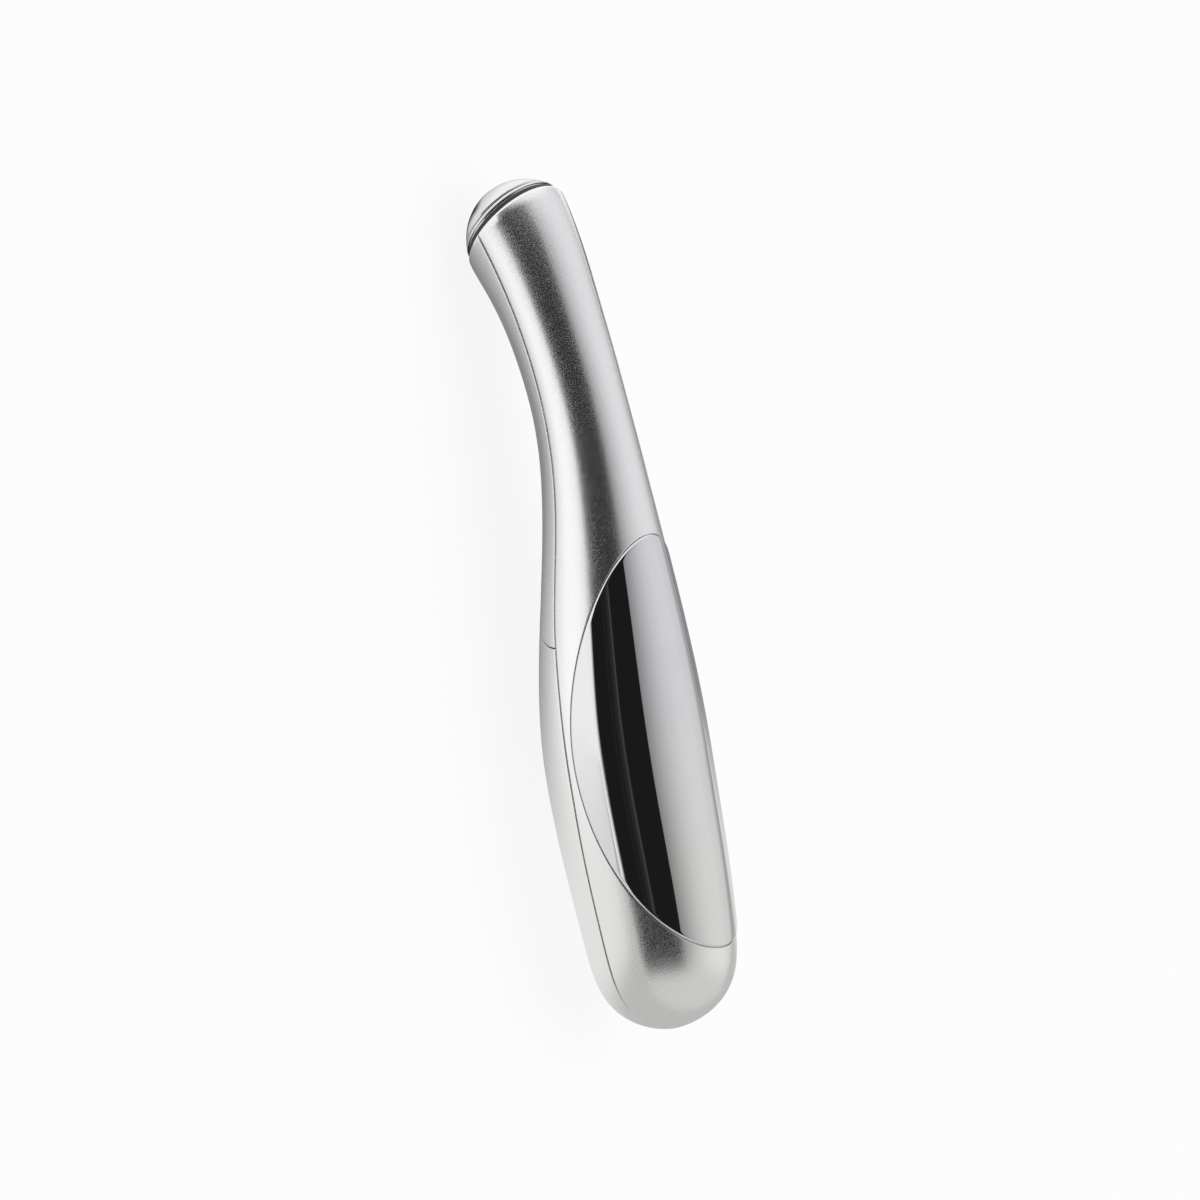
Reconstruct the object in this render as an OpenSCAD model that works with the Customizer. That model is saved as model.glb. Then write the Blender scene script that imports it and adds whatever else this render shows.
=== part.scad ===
// Microcurrent facial wand: a moulded clamshell handle with a bent neck, a polished treatment
// dome on its head, a metal-plated hand plate let into its back, one battery, one push button
// and a small vibration motor.
// The handle is drawn with x running from its rounded butt towards the head, z pointing out of
// its back and y across it. It is set down on its front, on the battery cover and the dome.

/* [Handle] */
// Distance from the butt to the fullest point of the grip
belly_x = 43.2; // [40:0.1:47]
// Radius of the grip at its fullest point
belly_r = 13.37; // [12.8:0.05:14.5]
// Radius that the grip tapers to behind its rounded butt
butt_r = 10.67; // [10:0.05:11.5]
// Length of the handle that is rounded off towards the butt
butt_round = 17; // [15:0.1:19]
// Distance from the butt to the slimmest point of the neck
waist_x = 102.9; // [99:0.1:106]
// Radius of the neck at its slimmest point
waist_r = 7.72; // [7.5:0.02:8.6]
// Height of the centre line at the butt
butt_z = 2.43; // [2:0.01:3]
// Height of the centre line at the fullest point of the grip
belly_z = 1.73; // [1.4:0.01:2.1]
// Distance from the butt to the crest of the centre line
crest_x = 90.5; // [88:0.5:94]
// Height of the centre line at its crest
crest_z = 3.93; // [3.6:0.01:4.3]
// Wall of the plastic shells
wall = 1.8; // [1.6:0.05:2]
// Open joint between neighbouring shells
joint_gap = 0.15; // [0.1:0.01:0.25]

/* [Head] */
// Distance from the butt to the middle of the rim that carries the head
rim_x = 130.8; // [129:0.2:135]
// Height of the middle of the rim
rim_z = -3.73; // [-4:0.01:-3]
// Radius of the rim
rim_r = 9.44; // [9.2:0.05:10]
// Lean of the rim from square across the handle
head_tilt = 37.7; // [34:0.1:40]
// Chamfer round the rim
rim_chamfer = 0.4; // [0.2:0.05:0.6]
// Plastic web that closes the shells behind the rim
end_wall = 1.5; // [1.2:0.1:2]
// Radius of the ball that the dome and its trim ring are turned to
dome_r = 9.5; // [9.2:0.05:10]
// Height of the dome above the rim
dome_h = 6.9; // [6.2:0.1:7.5]
// Wall of the pressed dome
dome_wall = 1.2; // [0.8:0.1:1.6]
// Height of the dark insulating collar that shows between the rim and the trim ring
collar_h = 0.8; // [0.5:0.05:1.2]
// Height of the bright trim ring
ring_h = 0.9; // [0.6:0.05:1.3]
// Thickness of the black gasket under the dome
gasket_h = 0.25; // [0.2:0.05:0.5]
// Radius of the electrode stud
stud_r = 1.5; // [1.2:0.05:1.8]
// Length of the insulator's boss below the rim
boss_h = 5; // [4.5:0.1:6]

/* [Touch plate] */
// Distance from the butt to the middle of the plate
plate_x = 45.3; // [43:0.1:47]
// Half the length of the plate
plate_half = 33.3; // [30:0.1:34]
// Angle that the plate wraps to each side of the back, at its widest
plate_angle = 91.5; // [80:0.5:94]
// Height that the plate stands above the shell
plate_proud = 0.22; // [0.1:0.02:0.35]
// Thickness of the plate
plate_t = 1; // [0.7:0.05:1.1]
// Bevel round the edge of the plate
plate_bevel = 0.3; // [0.15:0.05:0.5]
// Gap between the plate and its pocket
plate_gap = 0.1; // [0.06:0.02:0.2]
// Radius of the stakes that fix the plate
stake_r = 1; // [0.8:0.05:1.4]
// Length of a stake and its melted head behind the shell
stake_out = 1; // [0.8:0.1:1.4]
// Distance between neighbouring stakes
stake_pitch = 13; // [11:0.5:14]

/* [Battery] */
// Radius of the battery
battery_r = 5.25; // [5:0.05:5.4]
// Length of the battery with its nub
battery_len = 44.5; // [43:0.1:45]
// Radius of the battery's nub
nub_r = 1.9; // [1.5:0.1:2.4]
// Height of the battery's nub
nub_h = 0.9; // [0.6:0.1:1.2]
// Height of the battery's centre line
battery_z = -1.2; // [-1.5:0.05:-0.9]
// Distance from the butt to the tray that holds the battery
tray_x = 8.2; // [8:0.1:8.8]
// Wall of the battery tray
tray_wall = 1.2; // [1:0.05:1.4]
// Running room round the battery in its tray
battery_gap = 0.3; // [0.2:0.05:0.4]
// Thickness of the contact sheet
contact_t = 0.4; // [0.3:0.05:0.5]
// Length of the contact spring with the battery in place
spring_len = 4.2; // [3.6:0.1:4.6]
// Radius of the spring's wire
spring_wire_r = 0.3; // [0.25:0.01:0.4]
// Turns of the contact spring
spring_turns = 4; // [3:1:4]

/* [Battery cover] */
// Distance from the tray to the end of the battery cover, on the side of the handle
cover_past_tray = 2.2; // [1.5:0.1:3]
// Rise of the cover's arched end towards the middle of the front
cover_arch = 4.6; // [3:0.1:6]
// Height of the joint between front and back shells along the grip
joint_z = -0.1; // [-0.5:0.05:0.3]
// Length of a catch of the cover
hook_len = 3.6; // [3:0.1:4.5]
// Distance between neighbouring catches
hook_pitch = 15.5; // [14:0.5:16.5]
// Depth of the thumb scoop above the cover
scoop_depth = 0.6; // [0.3:0.05:0.8]
// Half the length of the oval that the thumb scoop is cut from
scoop_half = 5.6; // [4.6:0.1:6.4]
// Length of that oval that the arched seam cuts off
scoop_cut = 2; // [1.4:0.1:2.6]
// Angle that the thumb scoop reaches to each side of the front
scoop_angle = 46; // [36:1:52]

/* [Button] */
// Distance from the butt to the middle of the button
button_x = 94.5; // [93:0.1:96]
// Length of the button
button_len = 12; // [10:0.2:13]
// Width of the button
button_w = 6; // [5:0.1:6.4]
// Height of the button above the neck
button_proud = 0.5; // [0.3:0.05:0.8]
// Running gap round the button
button_gap = 0.2; // [0.15:0.01:0.3]
// Length of the switch below the circuit board
switch_h = 4.3; // [4.2:0.1:5]
// Side of the switch
switch_w = 6; // [5.6:0.1:6.2]
// Radius of the switch's plunger
plunger_r = 1.7; // [1.2:0.05:1.9]

/* [Circuit board] */
// Width of the circuit board
board_w = 9; // [8:0.1:9.6]
// Thickness of the circuit board
board_t = 1; // [0.8:0.05:1.6]
// Distance from the tray to the circuit board
board_past_tray = 7.6; // [7.4:0.1:8.4]

/* [Motor] */
// Distance from the rim back to the middle of the motor
motor_back = 20; // [19.6:0.1:21]
// Radius of the motor can
motor_r = 3; // [2.6:0.05:3.2]
// Length of the motor can
motor_len = 12; // [10:0.1:12.4]
// Radius of the motor shaft
shaft_r = 0.5; // [0.4:0.02:0.6]
// Length of the shaft outside the can
shaft_out = 4.6; // [4:0.1:5]
// Radius of the eccentric weight
weight_r = 2.6; // [2:0.05:2.8]
// Length of the eccentric weight
weight_len = 3.6; // [3:0.1:4]
// Length of the rubber motor holder
holder_len = 9; // [7:0.1:10]

/* [Screws] */
// Radius of a screw's thread
screw_r = 1; // [0.9:0.02:1.1]
// Radius of a screw's head
screw_head_r = 1.8; // [1.6:0.05:2]
// Height of a screw's head
screw_head_h = 1.2; // [1:0.05:1.4]
// Length of a screw under its head
screw_len = 6; // [5:0.1:7]
// Radius of a screw boss
boss_r = 2.4; // [2.2:0.05:2.6]

/* [Wires] */
// Radius of an insulated wire
wire_r = 0.5; // [0.4:0.02:0.6]

/* [Hidden] */
$fn = 48;

// Fineness of the lofted shells
sides = 44;
inner_sides = 28;
cap_rings = 8;
grip_rings = 17;
neck_rings = 7;
tiny = 0.02;
// Further than any point of the handle lies from another
reach = 2 * rim_x;

// Stations along the handle
tilt_x = rim_x - 18.8;
butt_slope = 0.069;
rim_slope = -0.345;
spring_x = tray_x + tray_wall + contact_t;
battery_x = spring_x + spring_len;
nub_x = battery_x + battery_len;
contact_x = nub_x + 0.05;
tray_end = contact_x + contact_t + tray_wall;
seam_x = tray_end + cover_past_tray;
post_x = tray_end + boss_r + 0.9;
board_x = tray_end + board_past_tray;
board_screws = [board_x + boss_r + 0.6, button_x + switch_w / 2 + screw_head_r + 0.6];
board_end = board_screws[1] + boss_r + 0.1;
motor_x = rim_x - motor_back;
holder_r = tube_r(motor_x) - wall - 0.4;

// Heights that follow from the fit of one piece on the next
clear = 0.05;
tab_t = 1.2;
tab_top = 1.2;
ear_t = 0.8;
ear_half = 2;
button_skin = tube_r(button_x);
ear_z = spine_z(button_x) - sqrt(pow(button_skin - wall, 2) - pow(ear_half, 2)) + clear;
plunger_z = ear_z + ear_t + tiny;
board_z = plunger_z + switch_h;
switch_body_h = switch_h - 0.8;
hook_t = 1.1;
ledge_in = 1.3;
ledge_h = 1.1;
tray_cut = 1.4;

// The whole wand, as it lies
dome_z = dome_h - dome_r;
length = rim_x + dome_z * cos(head_tilt) + dome_r;
floor_z = belly_r - belly_z;

silver = [0.76, 0.76, 0.77];
chrome = [0.88, 0.88, 0.9];
black = [0.08, 0.08, 0.09];
brass = [0.8, 0.66, 0.35];
steel = [0.66, 0.67, 0.69];

function mix(a, b, t) = a + (b - a) * t;
function smooth(t) = t * t * (3 - 2 * t);

// A cubic from (x0, z0) with slope m0 to (x1, z1) with slope m1
function cubic(x, x0, z0, m0, x1, z1, m1) =
    let (h = x1 - x0, t = (x - x0) / h)
    mix(z0, z1, smooth(t)) + h * (m0 * t * pow(1 - t, 2) + m1 * t * t * (t - 1));

// Height of the handle's centre line
function spine_z(x) =
    x < belly_x ? cubic(x, 0, butt_z, butt_slope, belly_x, belly_z, 0) :
    x < crest_x ? cubic(x, belly_x, belly_z, 0, crest_x, crest_z, 0) :
    cubic(x, crest_x, crest_z, 0, rim_x, rim_z, rim_slope);

// Radius of the handle before its butt is rounded
function tube_r(x) =
    x < belly_x ? belly_r - (belly_r - butt_r) * pow(1 - x / belly_x, 2) :
    x < waist_x ? mix(belly_r, waist_r, smooth((x - belly_x) / (waist_x - belly_x))) :
    mix(waist_r, rim_r, pow((x - waist_x) / (rim_x - waist_x), 2));

// Lean of the handle's round sections, which turn to meet the rim
function tilt(x) = x < tilt_x ? 0 : head_tilt * pow((x - tilt_x) / (rim_x - tilt_x), 2);

// Radius of a skin that lies a given depth inside the handle's surface
function skin_r(x, depth) =
    let (to_go = min(1, max(0, (butt_round - x) / (butt_round - depth))))
    (tube_r(x) - depth) * pow(1 - pow(to_go, 3.9), 0.565);

// A point of that skin, at an angle round from the middle of the back
function on_skin(x, angle, depth) =
    let (r = skin_r(x, depth), lean = tilt(x))
    [x + r * cos(angle) * sin(lean), r * sin(angle), spine_z(x) + r * cos(angle) * cos(lean)];

// Half the width of the hollow at a station and a height
function hollow_half(x, z) = sqrt(pow(skin_r(x, wall), 2) - pow(z - spine_z(x), 2));

// Height of the hollow's roof over a point
function roof_z(x, y) = spine_z(x) + sqrt(pow(skin_r(x, wall), 2) - y * y);

// Height of the joint between the front and back shells
function parting_z(x) =
    let (butt_joint = joint_z + 1, neck_joint = joint_z + 2.35)
    x < 34 ? mix(butt_joint, joint_z, smooth(max(0, x) / 34)) :
    x < seam_x ? joint_z :
    x < crest_x ? mix(joint_z, neck_joint, smooth((x - seam_x) / (crest_x - seam_x))) :
    cubic(x, crest_x, neck_joint, 0, rim_x, rim_z - 0.8, rim_slope);

// Place of the arched joint between the battery cover and the neck cover
function seam_at(z) =
    let (low = spine_z(seam_x) - tube_r(seam_x))
    seam_x + cover_arch * (1 - pow((z - low) / (joint_z - low), 2));

// Rings of a skin: the rounded butt, the grip and the neck
function stations(depth) = concat(
    [for (i = [1 : cap_rings]) mix(depth, butt_round, pow(i / cap_rings, 2.2))],
    [for (i = [1 : grip_rings]) mix(butt_round, tilt_x, i / grip_rings)],
    [for (i = [1 : neck_rings - 1]) mix(tilt_x, rim_x, i / neck_rings)],
    [rim_x - rim_chamfer, rim_x]);

// Closed solid under one skin of the handle
module skin(depth, chamfer = 0, n = sides) {
    x = stations(depth);
    rings = len(x);
    ring = function(k) [for (i = [0 : n - 1])
        on_skin(x[k], 360 * (i + 0.5) / n, depth + (k == rings - 1 ? chamfer : 0))];
    points = concat(
        [[depth, 0, spine_z(depth)]],
        [for (k = [0 : rings - 1]) each ring(k)],
        [[rim_x, 0, rim_z]]);
    at = function(k, i) 1 + k * n + i % n;
    last = len(points) - 1;
    faces = concat(
        [for (i = [0 : n - 1]) [0, at(0, i + 1), at(0, i)]],
        [for (k = [0 : rings - 2], i = [0 : n - 1])
            each [[at(k, i), at(k, i + 1), at(k + 1, i + 1)],
                  [at(k, i), at(k + 1, i + 1), at(k + 1, i)]]],
        [for (i = [0 : n - 1]) [at(rings - 1, i), at(rings - 1, i + 1), last]]);
    polyhedron(points, faces);
}

// Lens-shaped piece of a layer that wraps round the handle, with an oval outline.
// It lies between two depths; its underside can dish towards the middle.
module wrapped_oval(x, half, angle, wrap, top, bottom, dish = 0, bevel = 0,
                    patch_rows = 22, patch_cols = 14) {
    bevel_angle = bevel / tube_r(x) * 180 / PI;
    row = function(i) -0.999 * cos(180 * i / patch_rows);
    col = function(j) 2 * j / patch_cols - 1;
    spot = function(u, v, depth, trim)
        on_skin(x + (half - trim) * u,
                angle + v * (wrap - (trim > 0 ? bevel_angle : 0)) * sqrt(1 - u * u), depth);
    top_points = [for (i = [0 : patch_rows], j = [0 : patch_cols])
        spot(row(i), col(j), top, bevel)];
    edge_points = [for (i = [0 : patch_rows], j = [0 : patch_cols])
        let (u = row(i), v = col(j))
        spot(u, v, bottom + dish * (1 - u * u) * (1 - v * v), 0)];
    width = patch_cols + 1;
    count = (patch_rows + 1) * width;
    at = function(i, j, low) i * width + j + low * count;
    rim = concat(
        [for (j = [0 : patch_cols - 1]) [0, j]],
        [for (i = [0 : patch_rows - 1]) [i, patch_cols]],
        [for (j = [patch_cols : -1 : 1]) [patch_rows, j]],
        [for (i = [patch_rows : -1 : 1]) [i, 0]]);
    faces = concat(
        [for (i = [0 : patch_rows - 1], j = [0 : patch_cols - 1])
            each [[at(i, j, 0), at(i, j + 1, 0), at(i + 1, j + 1, 0)],
                  [at(i, j, 0), at(i + 1, j + 1, 0), at(i + 1, j, 0)],
                  [at(i, j, 1), at(i + 1, j + 1, 1), at(i, j + 1, 1)],
                  [at(i, j, 1), at(i + 1, j, 1), at(i + 1, j + 1, 1)]]],
        [for (k = [0 : len(rim) - 1])
            let (a = rim[k], b = rim[(k + 1) % len(rim)])
            each [[at(a[0], a[1], 0), at(b[0], b[1], 1), at(b[0], b[1], 0)],
                  [at(a[0], a[1], 0), at(a[0], a[1], 1), at(b[0], b[1], 1)]]]);
    polyhedron(concat(top_points, edge_points), faces);
}

// Round tube along a list of points, with every section square to its path
module tube_along(path, r, n = 6) {
    last = len(path) - 1;
    unit = function(v) v / norm(v);
    heading = function(k) unit(path[min(last, k + 1)] - path[max(0, k - 1)]);
    side = function(k) unit(cross(heading(k), [0.02, 0.03, 1]));
    ring = function(k)
        let (s = side(k), t = cross(s, heading(k)))
        [for (i = [0 : n - 1]) path[k] + r * (cos(360 * i / n) * s + sin(360 * i / n) * t)];
    points = [for (k = [0 : last]) each ring(k)];
    faces = concat(
        [[for (i = [n - 1 : -1 : 0]) i]],
        [for (k = [0 : last - 1], i = [0 : n - 1])
            let (a = k * n + i, b = k * n + (i + 1) % n)
            each [[a, b + n, a + n], [a, b, b + n]]],
        [[for (i = [0 : n - 1]) last * n + i]]);
    polyhedron(points, faces);
}

// Points of one smooth bend from a to b, pulled towards the two handles
function bend(a, pull_a, pull_b, b, steps = 10) =
    [for (i = [0 : steps]) let (t = i / steps)
        a * pow(1 - t, 3) + pull_a * 3 * t * pow(1 - t, 2) + pull_b * 3 * t * t * (1 - t)
        + b * pow(t, 3)];

module placed() { translate([-length / 2, 0, floor_z]) children(); }

// The head's own frame: its z axis leaves the rim square on
module at_head() {
    translate([rim_x, 0, rim_z]) rotate([0, 90 + head_tilt, 0]) children();
}

// The motor's own frame: its z axis points along the shaft, towards the head
motor_lean = atan((spine_z(motor_x + 2) - spine_z(motor_x - 2)) / 4);
module at_motor() {
    translate([motor_x, 0, spine_z(motor_x)]) rotate([0, 90 - motor_lean, 0]) children();
}

// Everything between two heights, across the whole handle, over one stretch of it
module slab(x0, x1, z0, z1, half = 30) {
    translate([x0, -half, z0]) cube([x1 - x0, 2 * half, z1 - z0]);
}

// The space in front of or behind the joint of the shells
module joint_side(front) {
    step = 3;
    first = -6;
    count = ceil((rim_x + 14 - first) / step);
    shift = (front ? -1 : 1) * joint_gap / 2;
    line = [for (i = [0 : count]) let (x = first + i * step)
        [x, parting_z(min(x, rim_x)) + rim_slope * max(0, x - rim_x) + shift]];
    far = front ? -40 : 40;
    rotate([90, 0, 0]) linear_extrude(80, center = true)
        polygon(concat(line, [[line[count][0], far], [first, far]]));
}

// The space on the neck's or the grip's side of the arched seam
module seam_side(neck, shift = 0) {
    low = spine_z(seam_x) - tube_r(seam_x) - 2;
    steps = 12;
    move = (neck ? 1 : -1) * joint_gap / 2 + shift;
    line = [for (i = [0 : steps]) let (z = mix(low, joint_z + 2, i / steps))
        [seam_at(z) + move, z]];
    far = neck ? rim_x + 20 : -10;
    rotate([90, 0, 0]) linear_extrude(80, center = true)
        polygon(concat([[far, -40], [line[0][0], -40]], line,
                       [[line[steps][0], 40], [far, 40]]));
}

// Hollow wall of the handle, closed by a web behind the rim
module hollow_handle() {
    difference() {
        skin(0, rim_chamfer);
        intersection() {
            skin(wall, 0, inner_sides);
            at_head() translate([0, 0, -reach - end_wall]) cylinder(h = reach, r = reach);
        }
        at_head() translate([0, 0, -3]) cylinder(h = 6, r = neck_hole_r);
    }
}
neck_hole_r = 5.6;

// Rib that runs down from the roof of the back shell to a given height
module roof_rib(x, z, half, t = 1.2) {
    hull() {
        for (y = [-half, half])
            translate([x - t / 2, y, z]) cube([t, 0.6, roof_z(x, y) + 0.6 - z]);
        translate([x - t / 2, -0.3, z]) cube([t, 0.6, roof_z(x, 0) + 0.6 - z]);
    }
}

// Screw boss under the roof, with four tapered webs
module roof_boss(x, z) {
    top = roof_z(x, 0) + 0.6;
    translate([x, 0, z]) cylinder(h = top - z, r = boss_r, $fn = 40);
    for (turn = [0 : 90 : 270])
        translate([x, 0, 0]) rotate([0, 0, turn + 45]) hull() {
            translate([0, -0.4, z + 2]) cube([boss_r + 0.2, 0.8, 0.1]);
            translate([0, -0.4, top - 1.6]) cube([boss_r + 1.2, 0.8, 1.6]);
        }
}

module rear_shell() {
    peg_x = tray_x - 2;
    color(silver) placed() difference() {
        intersection() {
            union() {
                difference() {
                    hollow_handle();
                    wrapped_oval(plate_x, plate_half + plate_gap, 0,
                                 plate_angle + plate_gap / belly_r * 180 / PI,
                                 -2, plate_t - plate_proud + clear);
                }
                intersection() {
                    skin(wall / 2, 0, inner_sides);
                    union() {
                        roof_boss(post_x, tab_top);
                        for (x = board_screws) roof_boss(x, board_z + board_t);
                        for (x = [mix(battery_x, nub_x, 0.2), mix(battery_x, nub_x, 0.8)])
                            roof_rib(x, battery_z + tray_outer_r + clear, 4);
                        slab(peg_x - 0.6, peg_x + 0.6, joint_z + 1.5, 30);
                    }
                }
                for (x = hook_spots, side = [-1, 1]) catch_ledge(x, side);
            }
            joint_side(false);
        }
        for (x = board_screws)
            translate([x, 0, board_z + board_t - 1])
                cylinder(h = screw_len, r = screw_r + clear, $fn = 24);
        translate([post_x, 0, tab_top - 1])
            cylinder(h = screw_len, r = screw_r + clear, $fn = 24);
        for (x = stake_spots)
            translate([x, 0, roof_z(x, 0) - 3])
                cylinder(h = wall + 6, r = stake_r + clear, $fn = 24);
        translate([peg_x - 2, 0, peg_z]) rotate([0, 90, 0])
            cylinder(h = 4, r = peg_r + clear, $fn = 24);
    }
}
tray_outer_r = battery_r + battery_gap + tray_wall;
peg_r = 1;
peg_z = 4.2;

// Catches of the battery cover: a ledge on the back shell and a foot that slides over it
hook_spots = [for (i = [0 : 2]) mix(battery_x, nub_x, 0.5) + (i - 1) * hook_pitch];

module catch_ledge(x, side) {
    z = parting_z(x) + joint_gap / 2;
    half = hollow_half(x, z + ledge_h / 2);
    translate([x - hook_len / 2, 0, z])
        mirror([0, side < 0 ? 1 : 0, 0])
            translate([0, half - ledge_in, 0]) cube([hook_len, ledge_in + wall / 2, ledge_h]);
}

module cover_hook(x, side) {
    z = parting_z(x);
    half = hollow_half(x, z + ledge_h / 2);
    foot_z = z + joint_gap / 2 + ledge_h + 0.2;
    mirror([0, side < 0 ? 1 : 0, 0]) translate([x - hook_len / 2, 0, 0]) {
        translate([0, half - ledge_in - 0.2 - hook_t, z - 3])
            cube([hook_len, hook_t, foot_z + 1.2 - z + 3]);
        hull() {
            translate([0, half - ledge_in - 0.2 - hook_t, foot_z])
                cube([hook_len, hook_t, 1.2]);
            translate([0, half - 0.8, foot_z]) cube([hook_len, 0.1, 0.5]);
        }
        hull() {
            translate([0, half - ledge_in - 0.2 - hook_t, z - 3]) cube([hook_len, hook_t, 2.2]);
            translate([0, half + 0.3, z - 3.6]) cube([hook_len, 0.1, 2.6]);
        }
    }
}

// Straight lip of the neck cover, over which the end of the battery cover slides
lip_start = seam_x - 6;
lip_end = seam_x + cover_arch;
lip_outer = tube_r(lip_end) - wall - 0.25;

module lip_bore(r, x0, x1) {
    translate([x0, 0, spine_z(lip_end)]) rotate([0, 90, 0]) cylinder(h = x1 - x0, r = r);
}

module neck_lip() {
    intersection() {
        difference() {
            union() {
                lip_bore(lip_outer, lip_start, lip_end + 3);
                intersection() {
                    skin(wall / 2, 0, inner_sides);
                    seam_side(true, 0.9);
                }
            }
            lip_bore(lip_outer - 1.2, lip_start - 1, lip_end + 4);
        }
        translate([0, 0, battery_z - tray_cut]) joint_side(true);
        seam_side(true, lip_start - seam_x);
        seam_side(false, 2.4);
    }
}

module neck_cover() {
    post_z = spine_z(lip_end) - lip_outer;
    post_top = tab_top - tab_t - clear;
    color(silver) placed() difference() {
        union() {
            intersection() {
                hollow_handle();
                joint_side(true);
                seam_side(true);
            }
            neck_lip();
            intersection() {
                lip_bore(lip_outer, lip_start, lip_end + 4);
                union() {
                    translate([post_x, 0, post_z]) cylinder(h = post_top - post_z, r = post_r);
                    for (turn = [45 : 90 : 315])
                        translate([post_x, 0, 0]) rotate([0, 0, turn]) hull() {
                            translate([0, -0.4, post_top - 2.5]) cube([post_r, 0.8, 0.1]);
                            translate([0, -0.4, post_z]) cube([post_r + 1.6, 0.8, 1.4]);
                        }
                }
            }
            intersection() {
                skin(wall / 2, 0, inner_sides);
                joint_side(true);
                union() {
                    for (x = [board_x + 8 : 6 : button_x - button_len / 2 - 3]) floor_rib(x, 1.2);
                    for (side = [-1, 1])
                        floor_rib(motor_x + holder_r * sin(motor_lean)
                                  + side * (holder_len / 2 + 0.95), 1.6);
                }
            }
        }
        translate([post_x, 0, post_z - 8])
            cylinder(h = post_top - head_web - post_z + 8, r = screw_head_r + 0.2, $fn = 32);
        translate([post_x, 0, post_top - head_web - 1])
            cylinder(h = head_web + 4, r = screw_r + 0.15, $fn = 24);
        translate([button_x, 0, spine_z(button_x) - 16])
            oval(button_len + 2 * button_gap, button_w + 2 * button_gap, 16 - waist_r / 2);
        wrapped_oval(lip_end + scoop_half - scoop_cut, scoop_half, 180, scoop_angle,
                     -1, -scoop_rim, scoop_depth + scoop_rim, 0, 12, 12);
    }
}
post_r = screw_head_r + 1;
head_web = 1.4;
// Height above the skin at which the scoop's cutter starts, so that its edge is clean
scoop_rim = 0.12;

// Low rib across the floor of the neck
module floor_rib(x, rise) {
    low = spine_z(x) - skin_r(x, wall);
    half = skin_r(x, wall) * 0.75;
    hull() {
        translate([x - 0.5, -half, low - 1]) cube([1, 2 * half, 0.4]);
        translate([x - 0.5, -half * 0.8, low - 1]) cube([1, 1.6 * half, 1 + rise]);
    }
}

module battery_cover() {
    color(silver) placed() union() {
        intersection() {
            hollow_handle();
            joint_side(true);
            seam_side(false);
        }
        intersection() {
            skin(wall / 2, 0, inner_sides);
            union() for (x = hook_spots, side = [-1, 1]) cover_hook(x, side);
            joint_side_or_above();
        }
        intersection() {
            skin(wall / 2, 0, inner_sides);
            joint_side(true);
            union() for (x = [battery_x - 2.5, battery_x + 4, nub_x - 4]) cover_rib(x);
        }
    }
}

// The catches rise past the joint of the shells, but stay off the back shell's wall
module joint_side_or_above() {
    union() {
        joint_side(true);
        intersection() {
            skin(wall + 0.25, 0, inner_sides);
            slab(0, seam_x, -20, 20);
        }
    }
}

// Rib that steadies the battery from below, half as wide again at its foot as at its top
module cover_rib(x, t = 1.2) {
    low = spine_z(x) - skin_r(x, wall);
    top = battery_z - battery_r - battery_gap - 2 * clear;
    foot_half = battery_r + clear;
    top_half = battery_r * 2 / 3;
    hull() {
        translate([x - t / 2, -foot_half, low - 1]) cube([t, 2 * foot_half, 0.2]);
        translate([x - t / 2, -top_half, low - 1])
            cube([t, 2 * top_half, max(0.3, top - low + 1)]);
    }
}

// The last stake stands just short of the screw boss, and the others follow behind it
stake_room = 1.75;
stake_head_r = stake_r + 0.5;
stake_spots = [for (i = [2 : -1 : 0]) post_x - boss_r - stake_r - stake_room - i * stake_pitch];

module touch_plate() {
    color(chrome) placed() union() {
        wrapped_oval(plate_x, plate_half, 0, plate_angle, -plate_proud, plate_t - plate_proud,
                     0, plate_bevel);
        for (x = stake_spots)
            translate([x, 0, roof_z(x, 0) - stake_out]) {
                cylinder(h = stake_out + wall - plate_t + plate_proud + 0.3, r = stake_r);
                cylinder(h = 0.8 * stake_out, r = stake_head_r);
            }
    }
}

// Radius of the head's ball at a height above the rim
function ball_r(h) = sqrt(dome_r * dome_r - pow(h - dome_z, 2));
ring_z = collar_h;
gasket_z = ring_z + ring_h;
cap_z = gasket_z + gasket_h;
ring_bevel = 0.2;
// The ring keeps just inside the ball, so that the wand lies on its dome
ring_r = ball_r(ring_z) - clear;

module head_dome() {
    color(chrome) placed() at_head() rotate_extrude($fn = 96) difference() {
        intersection() {
            translate([0, dome_z]) circle(r = dome_r, $fn = 160);
            translate([0, cap_z]) square([dome_r, dome_h]);
        }
        intersection() {
            translate([0, dome_z]) circle(r = dome_r - dome_wall, $fn = 160);
            translate([0, cap_z + 0.8]) square([dome_r, dome_h]);
        }
        translate([0, cap_z - 1]) square([ball_r(cap_z) - 2.2, 2]);
        translate([ball_r(cap_z) - 0.25, cap_z - 0.01]) rotate(-45) square([1, 1]);
    }
}

module dome_gasket() {
    color(black) placed() at_head() translate([0, 0, gasket_z]) difference() {
        cylinder(h = gasket_h, r = ball_r(cap_z) - 0.35, $fn = 96);
        translate([0, 0, -1]) cylinder(h = 3, r = ball_r(cap_z) - 2.4, $fn = 96);
    }
}

module trim_ring() {
    color(chrome) placed() at_head() difference() {
        union() {
            translate([0, 0, ring_z + ring_bevel])
                cylinder(h = ring_h - 2 * ring_bevel, r = ring_r, $fn = 96);
            translate([0, 0, ring_z])
                cylinder(h = ring_bevel, r1 = ring_r - ring_bevel, r2 = ring_r, $fn = 96);
            translate([0, 0, gasket_z - ring_bevel])
                cylinder(h = ring_bevel, r1 = ring_r, r2 = ring_r - 1.75 * ring_bevel, $fn = 96);
        }
        translate([0, 0, -1]) cylinder(h = 4, r = ball_r(cap_z) - 2.6, $fn = 96);
    }
}

lip_z = -end_wall - 0.1;
lip_r = 6.1;

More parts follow.
